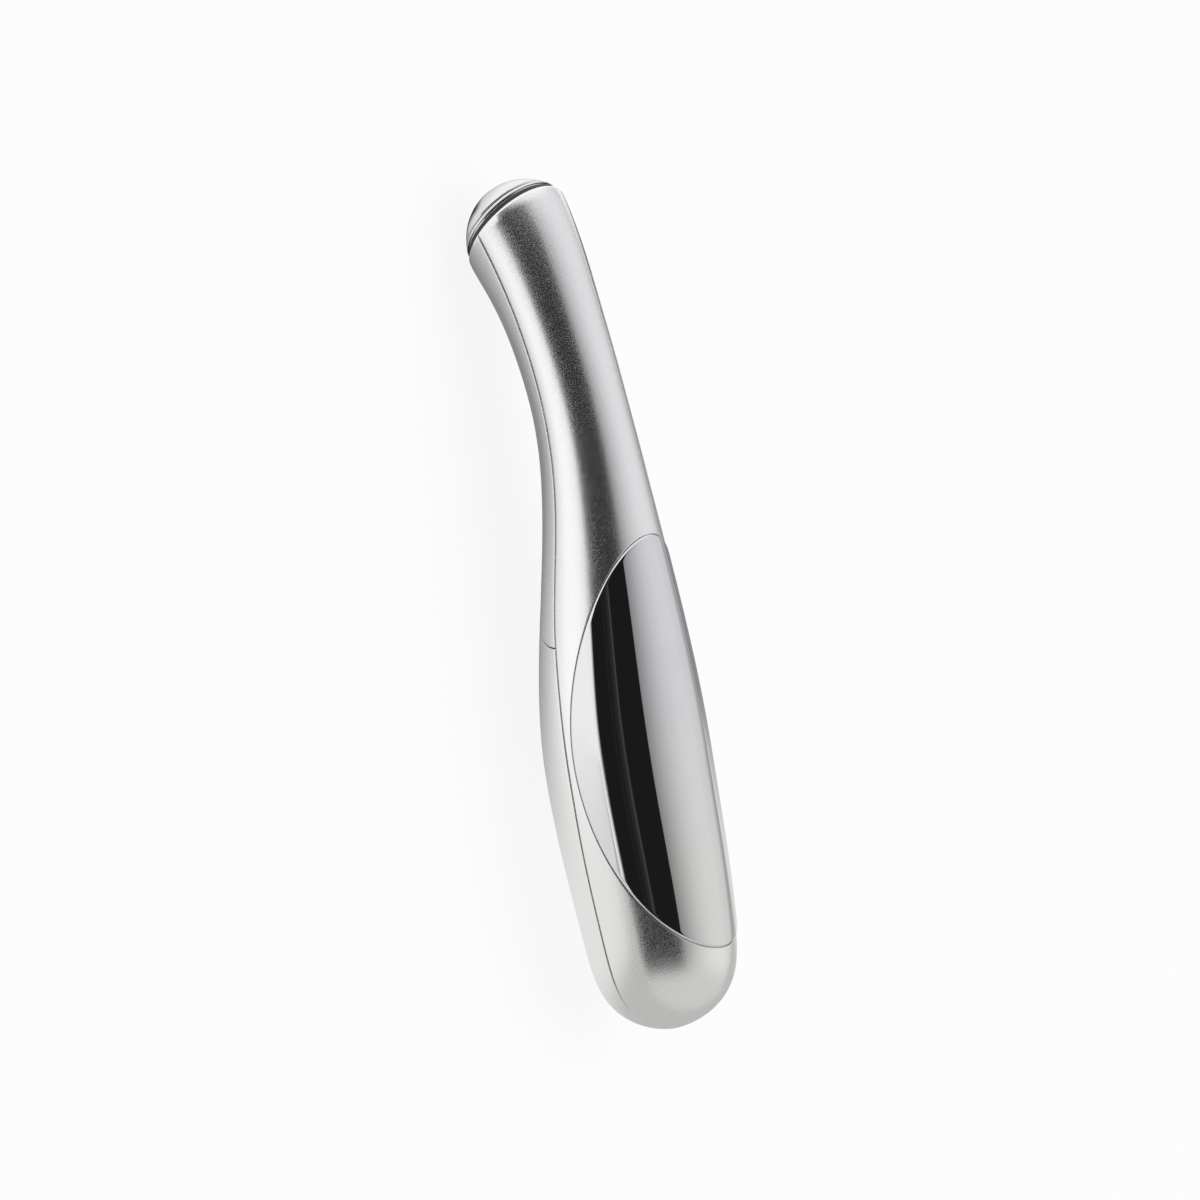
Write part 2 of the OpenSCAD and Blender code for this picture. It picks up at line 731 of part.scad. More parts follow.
module head_insulator() {
    color(black) placed() at_head() difference() {
        union() {
            cylinder(h = collar_h, r = rim_r - rim_chamfer - 0.35, $fn = 96);
            translate([0, 0, lip_z]) cylinder(h = -lip_z, r = neck_hole_r - 0.2);
            translate([0, 0, lip_z - 1]) cylinder(h = 1, r = lip_r);
            translate([0, 0, -boss_h]) cylinder(h = boss_h, r = stud_r + 2);
            translate([0, 0, collar_h - 0.01])
                cylinder(h = ring_h + gasket_h, r = ball_r(cap_z) - 2.8);
        }
        translate([0, 0, -boss_h - 1]) cylinder(h = boss_h + 8, r = stud_r + clear);
        translate([0, 0, lip_z - 2]) difference() {
            cylinder(h = 2 - lip_z + 0.2, r = lip_r - 2);
            cylinder(h = 2 - lip_z + 0.2, r = stud_r + 2);
        }
    }
}

module electrode_stud() {
    color(brass) placed() at_head() {
        foot_r = 2 * stud_r;
        top = dome_z + sqrt(pow(dome_r - dome_wall, 2) - foot_r * foot_r) - clear;
        translate([0, 0, -boss_h - 4]) cylinder(h = top + boss_h + 4, r = stud_r);
        translate([0, 0, cap_z]) cylinder(h = top - cap_z, r = foot_r);
    }
}

lug_t = 0.4;
module wire_lug() {
    color(brass) placed() at_head() translate([0, 0, -boss_h - lug_t]) difference() {
        union() {
            cylinder(h = lug_t, r = stud_r + 1.3);
            translate([-stud_r - 3.6, -0.9, 0]) cube([3.6, 1.8, lug_t]);
        }
        translate([0, 0, -1]) cylinder(h = 3, r = stud_r + clear);
    }
}

module stud_nut() {
    color(brass) placed() at_head() translate([0, 0, -boss_h - lug_t - 2]) difference() {
        cylinder(h = 2, r = stud_r + 1.4, $fn = 6);
        translate([0, 0, -1]) cylinder(h = 4, r = stud_r + clear);
    }
}

// Slot-ended block of a given length, width and height
module oval(long, wide, high) {
    for (end = [-1, 1])
        translate([end * (long - wide) / 2, 0, 0]) cylinder(h = high, r = wide / 2);
    translate([-(long - wide) / 2, -wide / 2, 0]) cube([long - wide, wide, high]);
}

module power_button() {
    face_r = button_skin + button_proud;
    mid_z = spine_z(button_x);
    color(silver) placed() union() {
        intersection() {
            translate([button_x, 0, mid_z - face_r - 1])
                oval(button_len, button_w, ear_z + ear_t - mid_z + face_r + 1);
            translate([button_x - button_len, 0, mid_z]) rotate([0, 90, 0])
                cylinder(h = 2 * button_len, r = face_r, $fn = 128);
        }
        translate([button_x - button_len / 2 - 1.4, -ear_half, ear_z])
            cube([button_len + 2.8, 2 * ear_half, ear_t]);
    }
}

module switch_plunger() {
    color(black) placed() translate([button_x, 0, plunger_z])
        cylinder(h = 1.3, r = plunger_r);
}

module tact_switch() {
    body_z = board_z - switch_body_h;
    color(black) placed() difference() {
        translate([button_x - switch_w / 2, -switch_w / 2, body_z])
            cube([switch_w, switch_w, switch_body_h]);
        translate([button_x, 0, body_z - 1]) cylinder(h = 2.1, r = plunger_r + clear);
    }
}

module circuit_board() {
    color("darkgreen") placed() difference() {
        translate([board_x, -board_w / 2, board_z])
            cube([board_end - board_x, board_w, board_t]);
        for (x = board_screws)
            translate([x, 0, board_z - 1]) cylinder(h = board_t + 2, r = screw_r + 0.1);
        for (y = [-1, 1])
            translate([board_end, y * board_w / 2, board_z - 1])
                cylinder(h = board_t + 2, r = 1);
    }
}

parts_z = board_z + board_t;
coil_x = mix(board_screws[0], board_screws[1], 0.62);
chip_x = mix(board_screws[0], board_screws[1], 0.3);

module boost_coil() {
    color(black) placed() translate([coil_x, 0, parts_z]) {
        cylinder(h = 0.6, r = 2.6);
        cylinder(h = 2.8, r = 1.9);
        translate([0, 0, 2.2]) cylinder(h = 0.6, r = 2.6);
    }
}

module control_chip() {
    color(black) placed() {
        translate([chip_x - 2.5, -1.95, parts_z + 0.15]) cube([5, 3.9, 1.4]);
        for (side = [-1, 1], i = [0 : 3])
            translate([chip_x - 1.9 + i * 1.27 - 0.2, side * 2.4 - 0.55, parts_z])
                cube([0.4, 1.1, 0.4]);
    }
}

module small_capacitors() {
    color("tan") placed() for (side = [-1, 1], i = [0 : 1])
        translate([mix(chip_x, coil_x, 0.5) - 0.6 + i * 1.7 - 0.85, side * 2.6 - 0.7, parts_z])
            cube([1.1, 1.4, 0.9]);
}

module vibration_motor() {
    color(steel) placed() at_motor() difference() {
        union() {
            translate([0, 0, -motor_len / 2]) cylinder(h = motor_len, r = motor_r);
            translate([0, 0, motor_len / 2]) cylinder(h = 0.5, r = 1.2);
        }
        translate([0, 0, motor_len / 2 - 4]) cylinder(h = 6, r = shaft_r + clear);
    }
}

module motor_shaft() {
    color(steel) placed() at_motor()
        translate([0, 0, motor_len / 2 - 3.7]) cylinder(h = 3.7 + shaft_out, r = shaft_r);
}

module eccentric_weight() {
    color(steel) placed() at_motor()
        translate([0, 0, motor_len / 2 + shaft_out - weight_len]) difference() {
            union() {
                intersection() {
                    cylinder(h = weight_len, r = weight_r);
                    translate([0, -weight_r, 0]) cube([weight_r, 2 * weight_r, weight_len]);
                }
                cylinder(h = weight_len, r = shaft_r + 0.6);
            }
            translate([0, 0, -1]) cylinder(h = weight_len + 2, r = shaft_r + 0.01);
        }
}

module motor_holder() {
    color(black) placed() at_motor() difference() {
        translate([0, 0, -holder_len / 2]) cylinder(h = holder_len, r = holder_r);
        translate([0, 0, -holder_len]) cylinder(h = 2 * holder_len, r = motor_r + 0.03);
        translate([-holder_r - 1, -wire_r - 0.3, -holder_len])
            cube([2.7, 2 * wire_r + 0.6, 2 * holder_len]);
    }
}

module battery() {
    color([0.2, 0.35, 0.6]) placed() translate([battery_x, 0, battery_z]) rotate([0, 90, 0]) {
        cylinder(h = battery_len - nub_h, r = battery_r);
        cylinder(h = battery_len, r = nub_r);
    }
}

module battery_tray() {
    room_r = battery_r + battery_gap;
    wing = tray_outer_r + tray_wall - clear;
    tab_half = boss_r + 1;
    color([0.85, 0.85, 0.83]) placed() difference() {
        union() {
            translate([tray_x, 0, battery_z]) rotate([0, 90, 0])
                cylinder(h = tray_end - tray_x, r = tray_outer_r);
            slab(tray_x + 2, tray_end, battery_z, battery_z + 1.2, wing);
            translate([tray_x - 3, 0, peg_z]) rotate([0, 90, 0]) cylinder(h = 3.1, r = peg_r);
            slab(tray_end - 0.1, post_x + boss_r, tab_top - tab_t, tab_top - clear,
                 tab_half);
        }
        translate([spring_x - contact_t, 0, battery_z]) rotate([0, 90, 0])
            cylinder(h = contact_x + contact_t - spring_x + contact_t, r = room_r);
        slab(tray_x - 1, tray_end + 0.05, battery_z - 20, battery_z - tray_cut);
        slab(spring_x - contact_t, contact_x + contact_t, battery_z - 20, battery_z, room_r);
        translate([post_x, 0, -5]) cylinder(h = 10, r = screw_r + 0.15);
    }
}

module contact_spring() {
    turns = spring_turns;
    steps = 14;
    wide = battery_r * 0.7;
    narrow = battery_r * 0.42;
    rise = spring_len - 2 * spring_wire_r - 2 * clear;
    path = [for (i = [0 : turns * steps]) let (t = i / (turns * steps), r = mix(wide, narrow, t))
        [spring_x + spring_wire_r + clear + rise * t, r * cos(360 * turns * t),
         battery_z + r * sin(360 * turns * t)]];
    color(steel) placed() tube_along(path, spring_wire_r);
}

module spring_plate() {
    color(steel) placed() intersection() {
        slab(spring_x - contact_t, spring_x, battery_z - 1.3, battery_z + 6, 4.6);
        translate([tray_x, 0, battery_z]) rotate([0, 90, 0])
            cylinder(h = 10, r = battery_r + battery_gap - clear);
    }
}

contact_half = battery_r * 0.65;
module battery_contact() {
    color(steel) placed() intersection() {
        slab(contact_x, contact_x + contact_t, battery_z - 1.3, battery_z + 6, contact_half);
        translate([contact_x - 5, 0, battery_z]) rotate([0, 90, 0])
            cylinder(h = 10, r = battery_r + battery_gap - clear);
    }
}

// Foam pad glued to the floor of the battery cover, whose hollow it follows
module cover_pad() {
    mid = mix(battery_x, nub_x, 0.5);
    half_long = battery_len * 0.18;
    half_wide = battery_r * 0.57;
    color([0.15, 0.15, 0.16]) placed() hull()
        for (x = [mid - half_long, mid + half_long - tiny]) intersection() {
            translate([x, 0, spine_z(x)]) rotate([0, 90, 0]) rotate(180 / inner_sides)
                cylinder(h = tiny, r = skin_r(x, wall) - tiny, $fn = inner_sides);
            slab(x, x + tiny, -reach, battery_z - battery_r - battery_gap, half_wide);
        }
}

module screw() {
    cylinder(h = screw_len, r = screw_r);
    translate([0, 0, -screw_head_h]) difference() {
        cylinder(h = screw_head_h, r = screw_head_r);
        for (turn = [0, 90])
            rotate([0, 0, turn]) translate([-1.1, -0.2, -1]) cube([2.2, 0.4, 1.5]);
    }
}

module case_screws() {
    color(steel) placed() {
        for (x = board_screws)
            translate([x, 0, board_z]) screw();
        translate([post_x, 0, tab_top - tab_t - clear - head_web]) screw();
    }
}

// Distance from the end of the board to the ends of the battery's leads
solder_in = 1.4;

module battery_wires() {
    color([0.7, 0.1, 0.1]) placed() {
        start = [tray_end + wire_r, contact_half, battery_z + battery_r * 0.9];
        finish = [board_x + solder_in, board_w / 3, board_z + board_t + wire_r];
        pull = boss_r * 1.25;
        tube_along(bend(start, start + pull * [1, 0.2, 0.67], finish + pull * [-1, 0.2, 0.67],
                        finish), wire_r);
    }
    color(black) placed() {
        top = battery_z + tray_outer_r + wire_r + 0.1;
        start = [tray_x + 1, -5.5, battery_z + 5.2];
        middle = [mix(battery_x, nub_x, 0.5), -4.6, top - 1.2];
        finish = [board_x + solder_in, -board_w / 3, board_z + board_t + wire_r];
        tube_along(concat(
            bend(start, start + [4, 0, 1], middle - [12, 0, 0], middle, 8),
            [for (p = bend(middle, middle + [14, 0, 0], finish + [-5, -1, 2], finish, 8))
                if (p != middle) p]), wire_r);
    }
}

module motor_wires() {
    lead_r = wire_r * 0.7;
    back = motor_x - motor_len / 2 * cos(motor_lean) - 0.6;
    color(black) placed() for (side = [-1, 1]) {
        start = [back, side * 1.2, spine_z(motor_x) - motor_len / 2 * sin(motor_lean)];
        finish = [board_end - 0.9, side * 3, board_z + board_t + lead_r + 2 * clear];
        tube_along(bend(start, start + [-1.5, side * 0.6, 0], finish + [1.6, 0, 0.4], finish, 8),
                   lead_r);
    }
}

module head_wire() {
    groove = holder_r - wire_r - 0.1;
    motor_point = function(along, off)
        [motor_x + along * cos(motor_lean) - off * sin(motor_lean), 0,
         spine_z(motor_x) + along * sin(motor_lean) + off * cos(motor_lean)];
    lug_h = -boss_h - lug_t - wire_r - 0.02;
    lug_off = stud_r + 2.6;
    start = [rim_x + lug_h * cos(head_tilt) + lug_off * sin(head_tilt), 0,
             rim_z - lug_h * sin(head_tilt) + lug_off * cos(head_tilt)];
    front = motor_point(holder_len / 2 + 1, groove);
    back = motor_point(-holder_len / 2 - 1, groove);
    finish = [board_end - 7.5, 3.3, board_z + board_t + wire_r];
    color([0.7, 0.1, 0.1]) placed()
        tube_along(concat(
            bend(start, start + [-2, 0, 1.2], front + [3, 0, -0.4], front, 6),
            bend(back, back + [-2, 2.6, -0.3], finish + [5.4, 2.2, 1.6], finish, 8)), wire_r);
}

module plate_wire() {
    start = [stake_spots[2], 0, roof_z(stake_spots[2], 0) - stake_out - wire_r - 0.02];
    finish = [board_screws[0] + boss_r + 0.6, board_w * 0.29, board_z + board_t + wire_r];
    out = 2 * boss_r;
    color([0.1, 0.1, 0.6]) placed()
        tube_along(bend(start, start + [0.5, out, -1], finish + [-out - 1.2, out / 2, 4], finish),
                   wire_r);
}

rear_shell();
neck_cover();
battery_cover();
touch_plate();
head_dome();
dome_gasket();
trim_ring();
head_insulator();
electrode_stud();
stud_nut();
wire_lug();
power_button();
switch_plunger();
tact_switch();
circuit_board();
boost_coil();
control_chip();
small_capacitors();
vibration_motor();
motor_shaft();
eccentric_weight();
motor_holder();
battery_tray();
battery();
contact_spring();
spring_plate();
battery_contact();
cover_pad();
case_screws();
battery_wires();
motor_wires();
head_wire();
plate_wire();
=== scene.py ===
# A microcurrent facial wand that lies on its front on a white table: silver-painted shells, a
# mirror-bright hand plate let into its back, and a polished treatment dome on its bent neck.
import math
import bmesh
import bpy
from mathutils import Matrix, Vector


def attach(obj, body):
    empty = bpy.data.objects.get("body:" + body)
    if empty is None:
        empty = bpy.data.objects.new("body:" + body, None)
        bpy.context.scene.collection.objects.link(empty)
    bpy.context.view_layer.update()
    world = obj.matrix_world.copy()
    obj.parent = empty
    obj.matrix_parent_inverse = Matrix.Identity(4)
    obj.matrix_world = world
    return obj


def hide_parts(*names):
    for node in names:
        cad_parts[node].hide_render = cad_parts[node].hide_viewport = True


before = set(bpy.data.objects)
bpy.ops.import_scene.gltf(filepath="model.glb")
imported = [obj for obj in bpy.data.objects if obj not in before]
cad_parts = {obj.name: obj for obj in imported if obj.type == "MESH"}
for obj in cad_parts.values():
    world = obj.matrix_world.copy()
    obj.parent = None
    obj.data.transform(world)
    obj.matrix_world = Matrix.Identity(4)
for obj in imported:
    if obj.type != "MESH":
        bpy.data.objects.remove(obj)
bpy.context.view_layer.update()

# The camera looks down on the wand's side through a long lens. It is rolled, so that the head
# is at the top of the picture and the wand leans a little to the left.
picture_width = 0.19206
lens_mm, sensor_mm = 250, 36
roll = math.radians(9.032)
aim = Vector((0.000411, 0, 0.012889))
across, along = Vector((0, -0.616, 0.788)), Vector((1, 0, 0))
right = across * math.cos(roll) - along * math.sin(roll)
up = across * math.sin(roll) + along * math.cos(roll)
back = right.cross(up)
camera = bpy.data.objects.new("camera", bpy.data.cameras.new("camera"))
camera.data.lens, camera.data.sensor_width = lens_mm, sensor_mm
camera.data.clip_start, camera.data.clip_end = 0.05, 50
camera.matrix_world = Matrix((right, up, back)).transposed().to_4x4()
camera.location = aim + back * (picture_width * lens_mm / sensor_mm)
bpy.context.scene.collection.objects.link(camera)
bpy.context.scene.camera = camera

view = bpy.context.scene.view_settings
view.view_transform = "Standard"


# The studio: a white table top, a pale tent open towards the camera, where the room is dark, and
# one large soft lamp overhead.
class Wire:
    """One socket in a tree of shader nodes, which can be used in sums."""

    def __init__(self, tree, socket):
        self.tree, self.socket = tree, socket

    def node(self, kind, settings={}, inputs={}, out=0):
        """A new node: its settings first, then the values or links of its sockets."""
        made = self.tree.nodes.new(kind)
        for name, value in settings.items():
            if name == "stops":
                ramp = made.color_ramp
                while len(ramp.elements) < len(value):
                    ramp.elements.new(0.5)
                for stop, (place, colour) in zip(ramp.elements, value):
                    stop.position = place
                    parts = colour if isinstance(colour, tuple) else (colour,) * 3
                    stop.color = (*parts, 1)
            else:
                setattr(made, name, value)
        for name, value in inputs.items():
            if isinstance(value, Wire):
                self.tree.links.new(value.socket, made.inputs[name])
            else:
                made.inputs[name].default_value = value
        return Wire(self.tree, made.outputs[out] if made.outputs else None)

    def math(self, operation, *values):
        """One sum on these values, as a Math node."""
        return self.node("ShaderNodeMath", {"operation": operation}, dict(enumerate(values)))

    def __add__(self, other):
        return self.math("ADD", self, other)

    def __radd__(self, other):
        return self.math("ADD", other, self)

    def __sub__(self, other):
        return self.math("SUBTRACT", self, other)

    def __rsub__(self, other):
        return self.math("SUBTRACT", other, self)

    def __mul__(self, other):
        return self.math("MULTIPLY", self, other)

    def __rmul__(self, other):
        return self.math("MULTIPLY", other, self)

    def __truediv__(self, other):
        return self.math("DIVIDE", self, other)

    def __rtruediv__(self, other):
        return self.math("DIVIDE", other, self)

    def between(self, low, high, at_low=0.0, at_high=1.0):
        """This value spread smoothly from one range to another, and held at its ends."""
        return self.node("ShaderNodeMapRange", {"interpolation_type": "SMOOTHSTEP"},
                         {0: self, 1: low, 2: high, 3: at_low, 4: at_high})

    def mixed(self, first, second):
        """A colour between two others, by this value."""
        return self.node("ShaderNodeMix", {"data_type": "RGBA"},
                         {0: self, 6: first, 7: second}, 2)


def new_surface(name):
    """A new material, with nothing in it but its output."""
    material = bpy.data.materials.new(name)
    material.use_nodes = True
    material.node_tree.nodes.clear()
    return material, Wire(material.node_tree, None)


def put_out(start, shader):
    """Links a shader to the output of its material or world."""
    kind = "ShaderNodeOutputWorld" if start.tree in [w.node_tree for w in bpy.data.worlds] \
        else "ShaderNodeOutputMaterial"
    start.node(kind, {}, {0: shader})


def link(name, mesh):
    """A new object in the scene from a bmesh."""
    data = bpy.data.meshes.new(name)
    mesh.to_mesh(data)
    mesh.free()
    made = bpy.data.objects.new(name, data)
    bpy.context.scene.collection.objects.link(made)
    return made


table = bmesh.new()
bmesh.ops.create_grid(table, x_segments=8, y_segments=8, size=3)
table_top = link("table_top", table)

# The camera sees the table white. Polished metal sees it in soft steps of grey, a painted
# reflection of the wand's shadow: darkest beside and behind the wand, rising to white further out.
mirror_reach, camera_share = 0.064, 0.88
table_white_painted_shadow, start = new_surface("table_white_painted_shadow")
place = start.node("ShaderNodeTexCoord", out="Object")
table_x, table_y = (start.node("ShaderNodeSeparateXYZ", {}, {0: place}, axis)
                    for axis in range(2))
from_wand = table_y + 0.010 - table_x.between(0, 0.035, 0.0, 0.003)
painted_shadow_reflected = start.node("ShaderNodeValToRGB", {"stops": [
    (0.0, 0.28), (0.194, 0.25), (0.327, 0.50), (0.445, 0.80), (0.58, 1.0)]},
    {0: from_wand / mirror_reach})
# Towards the butt the painted reflection is held at a pale grey, and round the butt's end at a mid
# grey.
painted_shadow_reflected = table_x.between(-0.05, -0.01).mixed((0.78, 0.78, 0.77, 1), painted_shadow_reflected)
painted_shadow_reflected = table_x.between(-0.076, -0.058).mixed((0.50, 0.50, 0.49, 1), painted_shadow_reflected)
# Painted shade on the table round the dome, seen only by polished metal: mid grey behind it, pale
# in front.
painted_shade_round_dome = table_y.between(-0.004, 0.014).mixed((0.50, 0.50, 0.51, 1), (0.92, 0.92, 0.92, 1))
painted_shadow_reflected = table_x.between(0.057, 0.064).mixed(painted_shadow_reflected, painted_shade_round_dome)
painted_shadow_reflected = table_x.between(0.066, 0.082).mixed(painted_shadow_reflected, (0.98, 0.98, 0.98, 1))
# A painted black shadow on the table just under the dome's edge, seen only in reflections.
painted_shadow_under_dome = table_x.between(0.054, 0.060) * table_x.between(0.067, 0.071, 1.0, 0.0)
painted_shadow_under_dome = painted_shadow_under_dome * table_y.between(0.003, 0.007, 1.0, 0.0)
painted_shadow_reflected = painted_shadow_under_dome.mixed(painted_shadow_reflected, (0.04, 0.04, 0.04, 1))
camera_ray = start.node("ShaderNodeLightPath", out="Is Camera Ray")
glossy_ray = start.node("ShaderNodeLightPath", out="Is Glossy Ray")
sheen = start.node("ShaderNodeBsdfPrincipled", {}, {"Base Color": (0.90, 0.90, 0.90, 1),
                                                    "Roughness": 0.7,
                                                    "Specular IOR Level": 0.1})
# This glows plain white to the camera, and in the painted shadow's greys to polished metal.
white = start.node("ShaderNodeBsdfPrincipled", {}, {
    "Base Color": (0, 0, 0, 1), "Specular IOR Level": 0.0, "Emission Strength": 1.0,
    "Emission Color": camera_ray.mixed(painted_shadow_reflected, (1, 1, 1, 1))})
put_out(start, start.node("ShaderNodeMixShader", {},
                          {0: camera_ray * camera_share + glossy_ray, 1: sheen, 2: white}))
table_top.data.materials.append(table_white_painted_shadow)

# The tent's walls are given by their turn round the wand, in half turns up from the camera's
# side. The room round the camera is dark, and the walls overhead and behind are pale.
tent = bpy.data.worlds.new("tent")
bpy.context.scene.world = tent
tent.use_nodes = True
tent.node_tree.nodes.clear()
start = Wire(tent.node_tree, None)
direction = start.node("ShaderNodeTexCoord", out="Generated")
side_x, side_y, side_z = (start.node("ShaderNodeSeparateXYZ", {}, {0: direction}, axis)
                          for axis in range(3))
turn = start.math("ARCTAN2", side_z, side_y) / math.pi - side_x.between(0.05, 0.35, 0.0, 0.025)
walls = start.node("ShaderNodeValToRGB", {"stops": [
    (0.0, 1.0), (0.006, 1.0), (0.026, 0.012), (0.13, 0.012), (0.14, 0.02), (0.15, 0.012),
    (0.19, 0.03), (0.20, 0.07), (0.21, 0.012), (0.383, 0.012), (0.384, 0.27), (0.483, 0.50),
    (0.572, 0.66), (0.672, 0.76), (0.79, 0.78), (0.92, 0.70), (0.96, 0.45), (1.0, 0.33)]},
    {0: turn})
tint = side_x.between(-0.06, 0.06).mixed((1, 0.99, 0.96, 1), (0.97, 0.965, 1, 1))
walls = start.node("ShaderNodeMix", {"data_type": "RGBA", "blend_type": "MULTIPLY"},
                   {0: 1.0, 6: walls, 7: tint}, 2)
walls = side_x.between(-0.60, -0.30).mixed((0.60, 0.60, 0.595, 1), walls)
walls = side_x.between(0.52, 0.64).mixed(walls, (0.98, 0.98, 0.98, 1))
camera_ray = start.node("ShaderNodeLightPath", out="Is Camera Ray")
put_out(start, start.node("ShaderNodeBackground", {}, {
    0: camera_ray.mixed(walls, (1, 1, 1, 1)), 1: 1.0}))

lamp_place = Vector((-0.15, -0.35, 1.1))
lamp = bpy.data.objects.new("lamp", bpy.data.lights.new("lamp", "AREA"))
lamp.data.energy, lamp.data.size = 6.0, 0.9
lamp.location = lamp_place
lamp.rotation_euler = (-lamp_place).to_track_quat("-Z", "Y").to_euler()
lamp.visible_glossy = False
bpy.context.scene.collection.objects.link(lamp)


# Silver paint of the shells: a fine metal flake under a thin clear coat, sprayed on moulded
# plastic. The flake shows as a fine grain, and the spray lies a little unevenly.
def silver_paint(name, tint, grain, roughness):
    """Paint of a tint, with more or less of the flake's grain in it."""
    material, start = new_surface(name)
    place = start.node("ShaderNodeTexCoord", out="Object")
    flake = start.node("ShaderNodeTexVoronoi", {"feature": "F1"},
                       {"Vector": place, "Scale": 8200, "Randomness": 1}, "Color")
    shade = start.node("ShaderNodeSeparateColor", {}, {0: flake})
    fine = start.node("ShaderNodeTexNoise", {}, {"Vector": place, "Scale": 6500, "Detail": 3})
    cloud = start.node("ShaderNodeTexNoise", {}, {"Vector": place, "Scale": 60, "Detail": 2})
    level = shade * grain + fine * grain * 0.8 + cloud * 0.03
    dark = tuple(0.93 * c for c in tint)
    colour = level.between(0, 0.03 + 1.8 * grain).mixed((*dark, 1), (*tint, 1))
    bump = start.node("ShaderNodeBump", {}, {"Strength": 0.3, "Distance": 0.00002,
                                             "Height": shade + fine})
    paint = start.node("ShaderNodeBsdfPrincipled", {}, {
        "Base Color": colour, "Metallic": 1.0,
        "Roughness": shade * 0.07 + cloud * 0.04 + (roughness - 0.055),
        "Normal": bump, "Coat Weight": 0.2, "Coat Roughness": 0.10})
    put_out(start, paint)
    return material


shell_paint = silver_paint("shell_paint", (1.0, 0.998, 0.995), 0.22, 0.24)

# The handle's own sizes, in millimetres from its butt: a bent centre line, round sections that
# swell at the grip and turn to meet the rim, and the joint that splits it into shells.
belly_x, waist_x, crest_x, rim_x = 43.2, 102.9, 90.5, 130.8
butt_z, belly_z, crest_z, rim_z = 2.43, 1.73, 3.93, -3.73
butt_r, belly_r, waist_r, rim_r = 10.67, 13.37, 7.72, 9.44
butt_slope, rim_slope, head_tilt, tilt_x = 0.069, -0.345, 37.7, 112.0
butt_round, wall, joint_gap, joint_z, seam_x, arch = 17, 1.8, 0.15, -0.1, 62.35, 4.6
butt_fullness, butt_flatness = 3.9, 0.565
butt_rise, butt_rise_end, neck_rise, rim_drop = 1, 34, 2.35, 0.8
dome_r, dome_h = 9.5, 6.9
half_length = (rim_x + (dome_h - dome_r) * math.cos(math.radians(head_tilt)) + dome_r) / 2
floor_z = belly_r - belly_z


def mix(a, b, t):
    """The value a share t of the way from a to b."""
    return a + (b - a) * t


def ease(t):
    """A share that starts and ends gently."""
    return t * t * (3 - 2 * t)


def curve(x, x0, z0, m0, x1, z1, m1):
    """Height at x of a smooth curve between two points, each with its slope."""
    h, t = x1 - x0, (x - x0) / (x1 - x0)
    return mix(z0, z1, ease(t)) + h * (m0 * t * (1 - t) ** 2 + m1 * t * t * (t - 1))


def centre_z(x):
    """Height of the handle's centre line."""
    if x < belly_x:
        return curve(x, 0, butt_z, butt_slope, belly_x, belly_z, 0)
    if x < crest_x:
        return curve(x, belly_x, belly_z, 0, crest_x, crest_z, 0)
    return curve(x, crest_x, crest_z, 0, rim_x, rim_z, rim_slope)


def section_r(x, depth=0):
    """Radius of the round section that lies a given depth inside the surface."""
    if x < belly_x:
        r = belly_r - (belly_r - butt_r) * (1 - x / belly_x) ** 2
    elif x < waist_x:
        r = mix(belly_r, waist_r, ease((x - belly_x) / (waist_x - belly_x)))
    else:
        r = mix(waist_r, rim_r, ((x - waist_x) / (rim_x - waist_x)) ** 2)
    to_go = min(1, max(0, (butt_round - x) / (butt_round - depth)))
    return (r - depth) * (1 - to_go ** butt_fullness) ** butt_flatness


def tilt(x):
    """Lean of a section: none along the handle, and growing to the head's own at the rim."""
    return 0 if x < tilt_x else math.radians(head_tilt) * ((x - tilt_x) / (rim_x - tilt_x)) ** 2


def on_handle(x, turn, depth=0):
    """A point of the handle, in metres, at a turn in degrees from the middle of its back."""
    r, lean, a = section_r(x, depth), tilt(x), math.radians(turn)
    return Vector((x + r * math.cos(a) * math.sin(lean) - half_length, r * math.sin(a),
                   centre_z(x) + r * math.cos(a) * math.cos(lean) + floor_z)) / 1000


def joint_height(x):
    """Height of the joint between the back shell and the two front shells."""
    if x < butt_rise_end:
        return mix(joint_z + butt_rise, joint_z, ease(max(0, x) / butt_rise_end))
    if x < seam_x:
        return joint_z
    if x < crest_x:
        return mix(joint_z, joint_z + neck_rise, ease((x - seam_x) / (crest_x - seam_x)))
    return curve(min(x, rim_x), crest_x, joint_z + neck_rise, 0,
                 rim_x, rim_z - rim_drop, rim_slope)


def joint_turn(x, depth, side):
    """Turn at which a section meets the joint, on its back side (1) or front side (-1)."""
    r, lean, a = section_r(x, depth), tilt(x), math.radians(100)
    for _ in range(8):
        at = x + r * math.cos(a) * math.sin(lean)
        rise = joint_height(at) + side * joint_gap / 2 - centre_z(x)
        a = math.acos(max(-1, min(1, rise / max(1e-6, r * math.cos(lean)))))
    return math.degrees(a)


def inner_x(x):
    """Station of the hollow that lies under a station of the surface."""
    return mix(wall, butt_round, x / butt_round) if x < butt_round else x


def spread(low, high, count):
    """Even steps from one value to another, with both ends."""
    return [mix(low, high, k / count) for k in range(count + 1)]


def rounded(edge, size, inward, steps=4):
    """Rounds an edge: places and depths from the surface down the edge's own face."""
    turns = [math.pi / 2 * k / steps for k in range(steps + 1)]
    return [(edge + inward * size * (1 - math.sin(t)), size * (1 - math.cos(t))) for t in turns]


